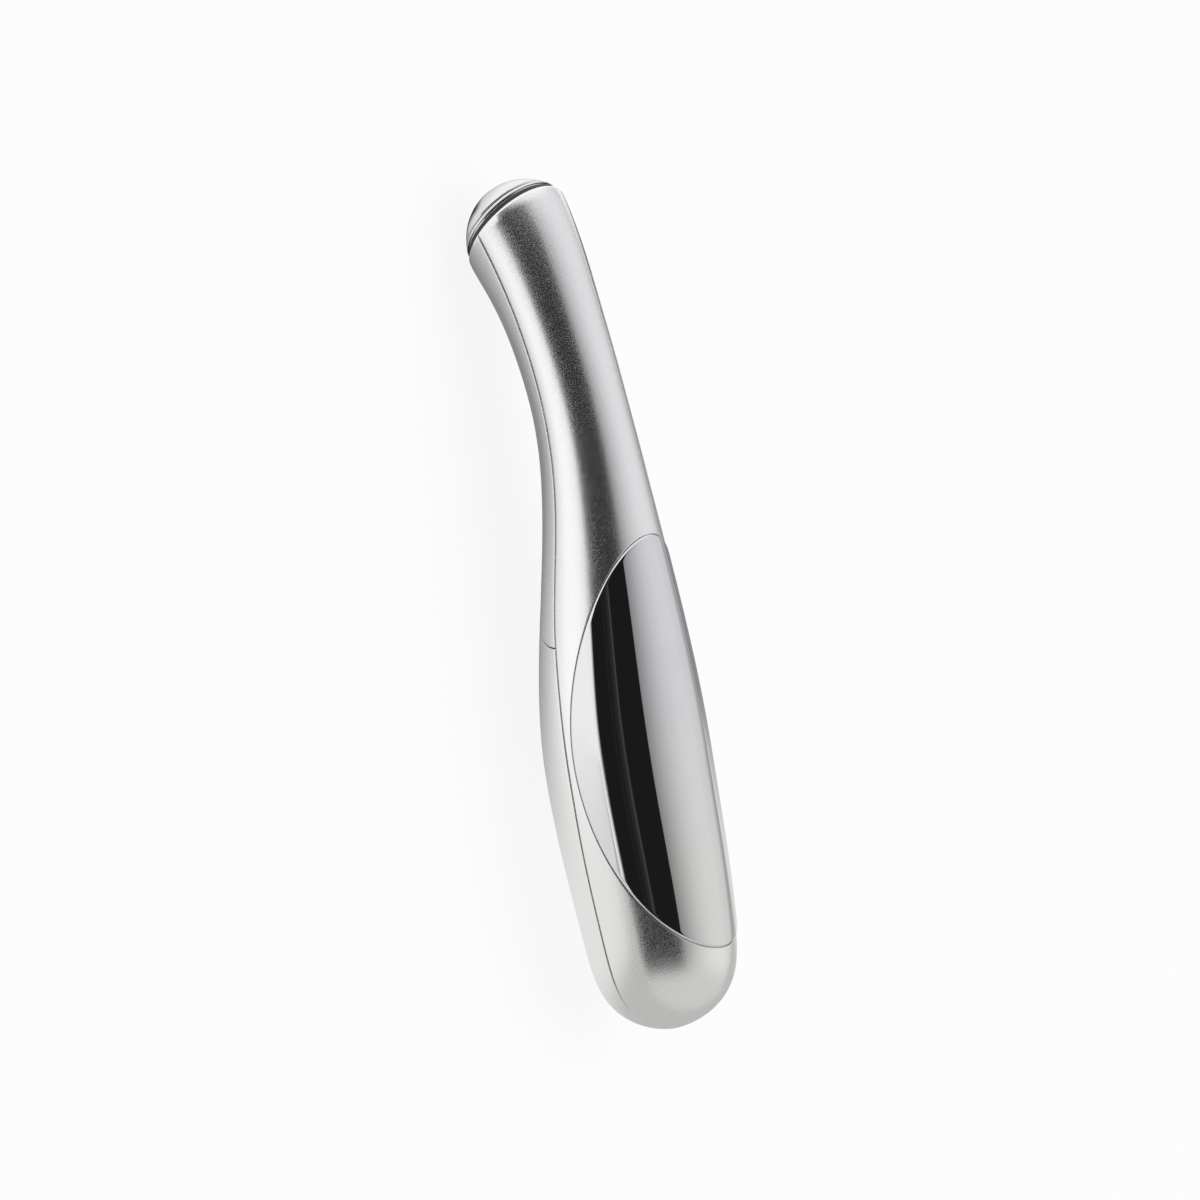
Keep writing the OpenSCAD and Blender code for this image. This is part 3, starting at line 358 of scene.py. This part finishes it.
def shell_wall(name, outer, inner, hole=lambda i, j: False):
    """A moulded wall between two lattices of points, closed along its edges."""
    mesh = bmesh.new()
    top = [[mesh.verts.new(p) for p in row] for row in outer]
    low = [[mesh.verts.new(p) for p in row] for row in inner]
    last_row, last = len(top) - 1, len(top[0]) - 1
    for i in range(last_row):
        for j in range(last):
            if not hole(i, j):
                mesh.faces.new((top[i][j], top[i][j + 1], top[i + 1][j + 1], top[i + 1][j]))
                mesh.faces.new((low[i][j], low[i + 1][j], low[i + 1][j + 1], low[i][j + 1]))
        mesh.faces.new((top[i][0], top[i + 1][0], low[i + 1][0], low[i][0]))
        mesh.faces.new((top[i][last], low[i][last], low[i + 1][last], top[i + 1][last]))
    for j in range(last):
        mesh.faces.new((top[0][j], low[0][j], low[0][j + 1], top[0][j + 1]))
        mesh.faces.new((top[last_row][j], top[last_row][j + 1],
                        low[last_row][j + 1], low[last_row][j]))
    return finish_mesh(name, mesh)


def finish_mesh(name, mesh, sharp=40):
    """Welds a mesh, smooths it, and keeps its flats flat beside its rounded edges."""
    bmesh.ops.remove_doubles(mesh, verts=mesh.verts, dist=2e-7)
    bmesh.ops.dissolve_degenerate(mesh, edges=mesh.edges, dist=1e-7)
    bmesh.ops.recalc_face_normals(mesh, faces=mesh.faces)
    for face in mesh.faces:
        face.smooth = True
    for edge in mesh.edges:
        edge.smooth = not edge.is_manifold or edge.calc_face_angle(0) < math.radians(sharp)
    made = link(name, mesh)
    level = made.modifiers.new("even_normals", "WEIGHTED_NORMAL")
    level.keep_sharp = True
    return made


# The back shell is one moulding from the butt to the rim, with an oval pocket for the plate. Its
# edges are broken all round, so that the joint reads as a fine dark line with a bright edge.
plate_x, plate_half, plate_wrap, plate_gap, pocket = 45.3, 33.3, 91.5, 0.14, 0.83
# Where a shell narrows away, its rounding takes at most a share of its width, most_broken.
edge_round, pocket_round, most_broken, shell_columns = 0.2, 0.12, 0.3, 44
rim_edge = [(0.40, 0), (0.12, 0.19), (0, 0.42)]


def pocket_turn(x):
    """Turn at which the plate's pocket ends at a station, or nothing beside the pocket."""
    u = (x - plate_x) / (plate_half + plate_gap)
    return (plate_wrap + math.degrees(plate_gap / belly_r)) * math.sqrt(max(0, 1 - u * u))


def back_row(x, rim=0):
    """One row of the back shell, outside and inside. The rim's own rows are set deeper."""
    r = max(0.05, section_r(x))
    per_mm = math.degrees(1 / r)
    edge, widest = joint_turn(x, 0, 1), pocket_turn(x)
    deep = pocket if widest > 0 else 0
    side = [(widest * k / 3, deep) for k in range(4)]
    lip = rounded(0, pocket_round, 1, 3)[::-1] if widest > 0 else [(0, 0)] * 4
    side += [(widest + out * per_mm, down) for out, down in lip]
    size = edge_round if edge < 179.9 else 0
    broken = rounded(0, size, -1)
    room = min(1, most_broken * edge / max(1e-6, size * per_mm))
    broken = [(edge + out * per_mm * room, down * room) for out, down in broken]
    between = spread(side[-1][0], broken[0][0], shell_columns)[1:-1]
    side += [(turn, 0) for turn in between] + broken
    ring = [(-turn, down) for turn, down in side[:0:-1]] + side
    inside = joint_turn(inner_x(x), wall, 1) / edge
    return ([on_handle(x, turn, max(down, rim)) for turn, down in ring],
            [on_handle(inner_x(x), turn * inside, wall) for turn, down in ring])


oval_end = plate_half + plate_gap
back_stations = [(plate_x - oval_end) * (k / 36) ** 2.4 for k in range(36)]
back_stations += [plate_x - oval_end * math.cos(math.pi * k / 110) for k in range(111)]
back_stations += spread(plate_x + oval_end, rim_x - rim_edge[0][0], 60)[1:]
back_rows = [back_row(x) for x in back_stations]
back_rows += [back_row(rim_x - before, down) for before, down in rim_edge[1:]]
back_shell = shell_wall("back_shell", *zip(*back_rows))
back_shell.data.materials.append(shell_paint)
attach(back_shell, "housing")
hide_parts("rear_shell")

# The front shell of the neck runs from the arched seam to the rim. It is moulded with a shallow
# thumb scoop beside the seam, the button's slot, and a lip and a screw post behind the seam.
button_x, button_long, button_wide, button_gap = 94.5, 12.0, 6.0, 0.2
seam_set, seam_damping = 0.7, 0.6
scoop_x, scoop_half, scoop_wrap, scoop_deep, scoop_over = 70.55, 5.6, 46, 0.72, 0.12


def seam(z):
    """Station of the arched seam at a height. It leaves the joint square and bends away.

    At the joint it stands nearer the head than the seam of the solids, by seam_set."""
    low = centre_z(seam_x) - section_r(seam_x)
    share = ease(min(1, max(0, (joint_z - z) / (joint_z - low))))
    return mix(seam_x + seam_set, seam_x + arch, share)


def seam_station(share, shift):
    """Station of the seam at a share of the way from the middle of the front to the joint."""
    x = seam_x + arch / 2
    for _ in range(30):
        turn = 180 - share * (180 - joint_turn(x, 0, -1))
        height = centre_z(x) + section_r(x) * math.cos(math.radians(turn))
        x = mix(x, seam(height) + shift, seam_damping)
    return x


def scoop(x, turn):
    """Depth of the thumb scoop at a point of the front."""
    u = (x - scoop_x) / scoop_half
    if abs(u) >= 1:
        return 0
    v = (turn - 180) / (scoop_wrap * math.sqrt(1 - u * u))
    return max(0, scoop_deep * (1 - u * u) * (1 - v * v) - scoop_over) if abs(v) < 1 else 0


def slot_half(x):
    """Half the width of the button's slot at a station, or nothing off its ends."""
    end_r = button_wide / 2 + button_gap
    past = max(0, abs(x - button_x) - (button_long - button_wide) / 2)
    return math.sqrt(end_r ** 2 - past ** 2) if past <= end_r else None


def front_side(x, slot):
    """Shares and depths from the middle of the front to the joint, at one station."""
    r = section_r(x)
    span = 180 - joint_turn(x, 0, -1)
    per_mm = math.degrees(1 / r) / span
    room = min(1, most_broken / (edge_round * per_mm))
    if slot is None:
        side = [(0, 0)] * 6
    else:
        half = math.degrees(math.asin(slot / r)) / span
        side = [(0, wall), (half, wall)]
        side += [(half + out * per_mm, down)
                 for out, down in rounded(0, pocket_round, 1, 3)[::-1]]
    broken = [(1 + out * per_mm * room, down * room)
              for out, down in rounded(0, edge_round, -1)]
    between = spread(side[-1][0], broken[0][0], shell_columns)[1:-1]
    return side + [(share, 0) for share in between] + broken


def front_rows(stations, slots, closing):
    """Rows of a front shell. A station gives an x for each share; closing deepens a row."""
    outer, inner = [], []
    for station, slot, deepen in zip(stations, slots, closing):
        side = front_side(station(0), slot)
        both = [(-share, down) for share, down in side[:0:-1]] + side
        rows = [], []
        for share, down in both:
            x = station(abs(share))
            turn = 180 + share * (180 - joint_turn(x, 0, -1))
            under = 180 + share * (180 - joint_turn(inner_x(x), wall, -1))
            rows[0].append(on_handle(x, turn, max(down, deepen, scoop(x, turn))))
            rows[1].append(on_handle(inner_x(x), under, wall))
        outer.append(rows[0])
        inner.append(rows[1])
    return outer, inner


seam_table = {}


def seam_share(share, shift):
    """The seam's station, worked out once for each share."""
    key = (round(share, 5), shift)
    if key not in seam_table:
        seam_table[key] = seam_station(share, shift)
    return seam_table[key]


past_scoop, slot_end = 77.0, button_long / 2 + button_gap
neck_stations, neck_slots, neck_closing = [], [], []
for out, down in rounded(0, edge_round, 1)[::-1]:
    neck_stations.append(lambda share, out=out: seam_share(share, joint_gap / 2) + out)
    neck_slots.append(None)
    neck_closing.append(down)
for k in range(1, 31):
    neck_stations.append(lambda share, k=k: mix(seam_share(share, joint_gap / 2) + edge_round,
                                                past_scoop, k / 30))
    neck_slots.append(None)
    neck_closing.append(0)
flat_stations = spread(past_scoop, button_x - slot_end, 14)[1:-1]
flat_stations += [button_x - slot_end * math.cos(math.pi * k / 48) for k in range(49)]
flat_stations += spread(button_x + slot_end, rim_x - rim_edge[0][0], 44)[1:]
for x in flat_stations:
    neck_stations.append(lambda share, x=x: x)
    neck_slots.append(slot_half(x))
    neck_closing.append(0)
for before, down in rim_edge[1:]:
    neck_stations.append(lambda share, before=before: rim_x - before)
    neck_slots.append(None)
    neck_closing.append(down)
neck_outer, neck_inner = front_rows(neck_stations, neck_slots, neck_closing)
middle = len(neck_outer[0]) // 2
neck_shell = shell_wall(
    "neck_shell", neck_outer, neck_inner,
    lambda i, j: neck_slots[i] is not None and neck_slots[i + 1] is not None
    and j in (middle - 1, middle))
neck_shell.data.materials.append(shell_paint)
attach(neck_shell, "housing")
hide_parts("neck_cover")

# The lip and the screw post behind the seam show when the battery cover is slid open. They are
# of one moulding with the front shell of the neck, and painted with it.
lip_end, lip_gap, lip_wall, lip_top = seam_x + arch, 0.25, 1.2, -2.675
lip_r, lip_reach, lip_root = section_r(lip_end) - wall - lip_gap, 5.9, 1.6


def lip_rows(r):
    """Rows of the lip at a radius, from under the cover to its root in the neck."""
    height = centre_z(lip_end) - lip_top
    rows = []
    for along_lip in spread(0, 1, 12):
        row = []
        for share in spread(-1, 1, 40):
            turn = math.asin(math.sqrt(1 - (height / r) ** 2)) * share
            z = centre_z(lip_end) - r * math.cos(turn)
            x = mix(seam(z) - lip_reach, seam(z) + lip_root, along_lip)
            row.append(Vector((x - half_length, r * math.sin(turn), z + floor_z)) / 1000)
        rows.append(row)
    return rows


neck_lip = shell_wall("neck_lip", lip_rows(lip_r), lip_rows(lip_r - lip_wall))
neck_lip.data.materials.append(shell_paint)
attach(neck_lip, "housing")


def turned(name, profile, origin, axis, steps=160):
    """A turned or moulded round piece: a closed profile of radii and heights, spun on an axis."""
    axis = Vector(axis).normalized()
    level = axis.orthogonal().normalized()
    cross = axis.cross(level)
    mesh = bmesh.new()
    rings = []
    for k in range(steps):
        a = 2 * math.pi * k / steps
        out = level * math.cos(a) + cross * math.sin(a)
        rings.append([mesh.verts.new((Vector(origin) + out * r + axis * h) / 1000)
                      for r, h in profile])
    for k in range(steps):
        here, there = rings[k], rings[(k + 1) % steps]
        for i in range(len(profile)):
            n = (i + 1) % len(profile)
            mesh.faces.new((here[i], there[i], there[n], here[n]))
    return finish_mesh(name, mesh, 30)


post_x, post_top, post_web, post_foot = 63.45, -0.05, 1.4, centre_z(lip_end) - lip_r + 0.2
post_r, head_room_r, screw_hole_r, post_chamfer = 2.8, 2.0, 1.15, 0.15
screw_post = turned("screw_post", [
    (head_room_r, post_foot), (post_r, post_foot), (post_r, post_top - post_chamfer),
    (post_r - post_chamfer, post_top), (screw_hole_r, post_top),
    (screw_hole_r, post_top - post_web), (head_room_r, post_top - post_web)],
    (post_x - half_length, 0, floor_z), (0, 0, 1), 64)
screw_post.data.materials.append(shell_paint)
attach(screw_post, "housing")

# The battery cover is the front of the grip, moulded and painted like the neck. It meets the
# neck at the arched seam and slides towards the butt. It begins where the rounding butt first
# reaches down to the joint.
cover_start = 0.156
cover_stations, cover_closing = [], []
for k in range(41):
    x = mix(cover_start, butt_round, (k / 40) ** 2.2)
    cover_stations.append(lambda share, x=x: x)
    cover_closing.append(0)
for k in range(1, 51):
    def cover_station(share, k=k):
        return mix(butt_round, seam_share(share, -joint_gap / 2) - edge_round, k / 50)
    cover_stations.append(cover_station)
    cover_closing.append(0)
for out, down in rounded(0, edge_round, -1)[1:]:
    cover_stations.append(lambda share, out=out: seam_share(share, -joint_gap / 2) + out)
    cover_closing.append(down)
cover_outer, cover_inner = front_rows(cover_stations, [None] * len(cover_stations), cover_closing)
grip_cover = shell_wall("grip_cover", cover_outer, cover_inner)
grip_cover.data.materials.append(shell_paint)
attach(grip_cover, "cover")
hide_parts("battery_cover")

# The hand plate is a thin oval, bent round the back of the grip, plated and polished to a mirror.
# It stands a little proud of the shell, with a bevel all round that catches the light.
plate_proud, plate_thick, plate_side = 0.22, 1.0, 0.55
plate_bevel, bevel_drop = 0.38, 0.30


def plate_point(reach, around, trim, depth):
    """A point of the plate, at a share of the way out to its edge, less a trim in mm."""
    trim_turn = math.degrees(trim / belly_r)
    return on_handle(plate_x - (plate_half - trim) * reach * math.cos(around),
                     (plate_wrap - trim_turn) * reach * math.sin(around), depth)


plate = bmesh.new()
plate_steps = 300
plate_rings = [(k / 80, plate_bevel, -plate_proud) for k in range(81)]
plate_rings += [(1, plate_bevel * (1 - math.sin(t)),
                 -plate_proud + bevel_drop * (1 - math.cos(t)))
                for t in (0.35, 0.7, 1.05, 1.3, 1.5708)]
plate_rings += [(1, 0, plate_side), (1, 0, plate_thick - plate_proud)]
plate_rings += [(k / 8, 0, plate_thick - plate_proud) for k in range(7, -1, -1)]
rows = [[plate.verts.new(plate_point(reach, 2 * math.pi * s / plate_steps, trim, depth))
         for s in range(plate_steps)] for reach, trim, depth in plate_rings]
for row, following in zip(rows, rows[1:]):
    for s in range(plate_steps):
        n = (s + 1) % plate_steps
        plate.faces.new((row[s], row[n], following[n], following[s]))
hand_plate = finish_mesh("hand_plate", plate, 50)

plating, start = new_surface("plating")
place = start.node("ShaderNodeTexCoord", out="Object")
stretched = start.node("ShaderNodeMapping", {}, {"Vector": place, "Scale": (1, 0.12, 0.12)})
rubbed = start.node("ShaderNodeTexNoise", {}, {"Vector": stretched, "Scale": 2400, "Detail": 4})
smudge = start.node("ShaderNodeTexNoise", {}, {"Vector": place, "Scale": 70, "Detail": 5,
                                               "Roughness": 0.6})
haze = smudge.between(0.48, 0.78)
put_out(start, start.node("ShaderNodeBsdfPrincipled", {}, {
    "Base Color": haze.mixed((0.83, 0.83, 0.84, 1), (0.79, 0.785, 0.78, 1)),
    "Metallic": 1.0, "Roughness": haze * 0.05 + rubbed * 0.03 + 0.015}))
hand_plate.data.materials.append(plating)
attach(hand_plate, "housing")
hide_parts("touch_plate")

# The head: a moulded black collar on the rim, a turned bright ring, a black gasket, and the
# pressed and polished dome. All four are round about the head's own axis.
head_turn = math.radians(head_tilt)
head_origin = (rim_x - half_length, 0, rim_z + floor_z)
head_axis = (math.cos(head_turn), 0, -math.sin(head_turn))
ball_z, collar_h, ring_h, gasket_h, dome_wall = dome_h - dome_r, 0.8, 0.9, 0.25, 1.2
gasket_z = collar_h + ring_h
cap_z = gasket_z + gasket_h
dome_land, ring_land, gasket_land, land_h, rolled_h = 2.2, 2.6, 2.4, 0.8, 0.30
rolled_edge = [(0.32, 0), (0.20, 0.03), (0.10, 0.10), (0.06, 0.20)]


def ball_r(h, r=dome_r):
    """Radius of the ball that the head is cut from, at a height above the rim."""
    return math.sqrt(max(0, r * r - (h - ball_z) ** 2))


def ball_arc(low, r, steps):
    """Points of the ball from a height up to its top."""
    first = math.asin((low - ball_z) / r)
    return [(r * math.cos(t), ball_z + r * math.sin(t)) for t in spread(first, math.pi / 2, steps)]


foot = ball_r(cap_z)
dome_profile = [(foot - dome_land, cap_z)]
dome_profile += [(foot - inward, cap_z + rise) for inward, rise in rolled_edge]
dome_profile += ball_arc(cap_z + rolled_h, dome_r, 64)
dome_profile += ball_arc(cap_z + land_h, dome_r - dome_wall, 32)[::-1]
dome_profile += [(foot - dome_land, cap_z + land_h)]
polished_dome = turned("polished_dome", dome_profile, head_origin, head_axis, 256)

dome_polish, start = new_surface("dome_polish")
place = start.node("ShaderNodeTexCoord", out="Object")
worn = start.node("ShaderNodeTexNoise", {}, {"Vector": place, "Scale": 260, "Detail": 6,
                                             "Roughness": 0.65})
fine = start.node("ShaderNodeTexNoise", {}, {"Vector": place, "Scale": 3200, "Detail": 2})
put_out(start, start.node("ShaderNodeBsdfPrincipled", {}, {
    "Base Color": worn.mixed((0.86, 0.86, 0.87, 1), (0.90, 0.90, 0.90, 1)),
    "Metallic": 1.0, "Roughness": worn.between(0.45, 0.75, 0.03, 0.09) + fine * 0.02}))
polished_dome.data.materials.append(dome_polish)
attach(polished_dome, "housing")
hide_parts("head_dome")

# The ring steps in to a neck above the collar, then stands out in a bead that slopes off.
ring_out, step_in, step_h, bead = ball_r(collar_h) - 0.05, 0.4, 0.3, 0.1
ring_profile = [(foot - ring_land, collar_h), (ring_out - step_in, collar_h),
                (ring_out - step_in, collar_h + step_h)]
ring_profile += [(ring_out - bead + bead * math.sin(t),
                  collar_h + (step_h + bead) - bead * math.cos(t))
                 for t in spread(0, math.pi / 2, 4)]
ring_profile += [(ring_out - 0.06, collar_h + 0.55), (ring_out - 0.28, gasket_z - 0.08),
                 (ring_out - 0.36, gasket_z)]
ring_profile += [(foot - ring_land, gasket_z)]
bright_ring = turned("bright_ring", ring_profile, head_origin, head_axis, 256)

ring_turning, start = new_surface("ring_turning")
place = start.node("ShaderNodeTexCoord", out="Object")
lathe = start.node("ShaderNodeTexNoise", {}, {"Vector": place, "Scale": 1800, "Detail": 3})
put_out(start, start.node("ShaderNodeBsdfPrincipled", {}, {
    "Base Color": lathe.mixed((0.80, 0.80, 0.81, 1), (0.88, 0.88, 0.88, 1)),
    "Metallic": 1.0, "Roughness": lathe * 0.10 + 0.06}))
bright_ring.data.materials.append(ring_turning)
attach(bright_ring, "housing")
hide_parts("trim_ring")

gasket_out, gasket_round = foot - 0.35, 0.08
black_gasket = turned("black_gasket", [
    (foot - gasket_land, gasket_z), (gasket_out - gasket_round, gasket_z),
    (gasket_out, gasket_z + gasket_round), (gasket_out, cap_z - gasket_round),
    (gasket_out - gasket_round, cap_z), (foot - gasket_land, cap_z)],
    head_origin, head_axis)
soft_black, start = new_surface("soft_black")
place = start.node("ShaderNodeTexCoord", out="Object")
dust = start.node("ShaderNodeTexNoise", {}, {"Vector": place, "Scale": 1500, "Detail": 4})
put_out(start, start.node("ShaderNodeBsdfPrincipled", {}, {
    "Base Color": dust.mixed((0.012, 0.012, 0.013, 1), (0.03, 0.03, 0.03, 1)),
    "Roughness": dust * 0.2 + 0.5,
    "Normal": start.node("ShaderNodeBump", {}, {"Strength": 0.2, "Distance": 0.00001,
                                                "Height": dust})}))
black_gasket.data.materials.append(soft_black)
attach(black_gasket, "housing")
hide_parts("dome_gasket")


# The collar and its boss are one black moulding that keeps the head apart from the shells. The
# switch's plunger is moulded in the same plastic.
def moulded(name, colour, roughness, grain=1400, relief=0.3):
    """Plastic or rubber of an even colour, with the fine grain of a spark-eroded mould."""
    material, start = new_surface(name)
    place = start.node("ShaderNodeTexCoord", out="Object")
    spark = start.node("ShaderNodeTexNoise", {}, {"Vector": place, "Scale": grain, "Detail": 4})
    patch = start.node("ShaderNodeTexNoise", {}, {"Vector": place, "Scale": 120, "Detail": 2})
    dark = tuple(0.8 * c for c in colour)
    put_out(start, start.node("ShaderNodeBsdfPrincipled", {}, {
        "Base Color": patch.mixed((*dark, 1), (*colour, 1)),
        "Roughness": spark * 0.12 + patch * 0.10 + (roughness - 0.11),
        "Normal": start.node("ShaderNodeBump", {}, {"Strength": relief, "Distance": 0.00002,
                                                    "Height": spark})}))
    return material


def dress(material, *nodes):
    """Gives a material to pieces that keep the shape of their CAD node."""
    for name in nodes:
        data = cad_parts[name].data
        data.materials.clear()
        data.materials.append(material)


collar_black = moulded("collar_black", (0.045, 0.045, 0.05), 0.42)
dress(collar_black, "head_insulator", "switch_plunger")

# The push button in the front of the neck: a silver-painted moulding with a crowned face that
# follows the neck and a rounded edge. Two ears inside keep it in its slot.
button_proud, button_edge, button_top = 0.5, 0.45, -2.0
button_face = section_r(button_x) + button_proud
ear_reach, ear_half, ear_thick = button_long / 2 + 1.4, 2, 0.8


def pill(around, inset):
    """A point round the outline of the button."""
    end_r = button_wide / 2
    x, y = end_r * math.cos(around), end_r * math.sin(around)
    reach = (button_long - button_wide) / 2 * (1 if x > 0 else -1 if x < 0 else 0)
    keep = 1 - inset / end_r
    return reach + x * keep, y * keep


def button_point(around, inset, share, drop):
    """A point of the crowned face, at a share of the way out to the outline."""
    x, y = pill(around, inset)
    x, y = x * share, y * share
    return Vector((button_x + x - half_length, y,
                   centre_z(button_x) - math.sqrt(button_face ** 2 - y * y) + drop + floor_z))


cap = bmesh.new()
button_steps = 160
button_rings = [(0.0001 + k / 24, button_edge, 0) for k in range(24)] + [(1, button_edge, 0)]
button_rings += [(1, button_edge * (1 - math.sin(t)), button_edge * (1 - math.cos(t)))
                 for t in spread(0, math.pi / 2, 6)[1:]]
rows = [[cap.verts.new(button_point(2 * math.pi * (s + 0.5) / button_steps, inset, share, drop)
                       / 1000) for s in range(button_steps)]
        for share, inset, drop in button_rings]
skirt = []
for vertex in rows[-1]:
    x, y, z = vertex.co
    skirt.append(cap.verts.new((x, y, (button_top + ear_thick + floor_z) / 1000)))
rows.append(skirt)
for row, following in zip(rows, rows[1:]):
    for s in range(button_steps):
        n = (s + 1) % button_steps
        cap.faces.new((row[s], row[n], following[n], following[s]))
cap.faces.new(rows[0])
cap.faces.new(skirt[::-1])
# Both ears are the ends of one bar across the foot of the cap.
ears = [cap.verts.new(Vector((button_x + x - half_length, y, z + floor_z)) / 1000)
        for x in (-ear_reach, ear_reach) for y in (-ear_half, ear_half)
        for z in (button_top, button_top + ear_thick)]
for corners in ("0132", "4675", "0451", "2376", "0264", "1573"):
    cap.faces.new([ears[int(corner)] for corner in corners])
push_button = finish_mesh("push_button", cap)
button_paint = silver_paint("button_paint", (0.93, 0.93, 0.93), 0.12, 0.2)
push_button.data.materials.append(button_paint)
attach(push_button, "button")
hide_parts("power_button")

# The circuit board is glass fibre under a green mask. Soldered to it are the switch, the chip,
# the coil in its dark ferrite and the sintered capacitors.
dress(moulded("switch_black", (0.03, 0.03, 0.033), 0.45), "tact_switch", "control_chip")
dress(moulded("board_green", (0.04, 0.20, 0.09), 0.28, 500, 0.15), "circuit_board")
dress(moulded("coil_dark", (0.09, 0.085, 0.08), 0.5, 2200, 0.5), "boost_coil")
dress(moulded("ceramic_tan", (0.50, 0.38, 0.24), 0.35), "small_capacitors")

# The motor is a plated steel can with a turned shaft and a heavy half disc. It is pressed into
# a holder of soft moulded rubber.
def metal(name, colour, roughness, scale=(1, 0.1, 0.1)):
    """Plated steel or brass, with the marks of the rolling or turning that made it."""
    material, start = new_surface(name)
    place = start.node("ShaderNodeTexCoord", out="Object")
    drawn = start.node("ShaderNodeMapping", {}, {"Vector": place, "Scale": scale})
    marks = start.node("ShaderNodeTexNoise", {}, {"Vector": drawn, "Scale": 2600, "Detail": 4})
    stain = start.node("ShaderNodeTexNoise", {}, {"Vector": place, "Scale": 240, "Detail": 3})
    dull = tuple(0.82 * c for c in colour)
    put_out(start, start.node("ShaderNodeBsdfPrincipled", {}, {
        "Base Color": stain.mixed((*dull, 1), (*colour, 1)), "Metallic": 1.0,
        "Roughness": marks * 0.16 + stain * 0.08 + (roughness - 0.12)}))
    return material


dress(metal("motor_steel", (0.62, 0.63, 0.64), 0.30), "vibration_motor", "motor_shaft",
      "eccentric_weight")
dress(moulded("holder_rubber", (0.04, 0.04, 0.043), 0.72, 900, 0.5), "motor_holder")

# The battery is a steel can in a plain sleeve. It lies in a pale moulded tray, between a coiled
# spring and a flat contact of plated steel, and on a pad of closed-cell foam.
dress(moulded("tray_grey", (0.52, 0.52, 0.50), 0.48), "battery_tray")
dress(metal("cell_sleeve", (0.50, 0.53, 0.58), 0.32), "battery")
dress(metal("contact_steel", (0.70, 0.70, 0.70), 0.24), "contact_spring", "spring_plate",
      "battery_contact")
dress(moulded("pad_foam", (0.05, 0.05, 0.055), 0.9, 2600, 1.0), "cover_pad")

# The stud and its nut are turned from brass, and the wire's tag is pressed from it. The screws
# that hold the shells together are plated steel.
dress(metal("stud_brass", (0.74, 0.58, 0.30), 0.28, (1, 1, 1)), "electrode_stud", "stud_nut",
      "wire_lug")
dress(metal("screw_steel", (0.58, 0.59, 0.60), 0.34, (1, 1, 1)), "case_screws")

# The leads are stranded wire in soft coloured plastic. They join the board to the battery's
# contacts, the motor, the stud of the dome and the hand plate.
dress(moulded("lead_red", (0.50, 0.05, 0.04), 0.36, 700, 0.1), "battery_wires", "head_wire")
dress(moulded("lead_black", (0.03, 0.03, 0.03), 0.36, 700, 0.1), "motor_wires")
dress(moulded("lead_blue", (0.05, 0.09, 0.40), 0.36, 700, 0.1), "plate_wire")
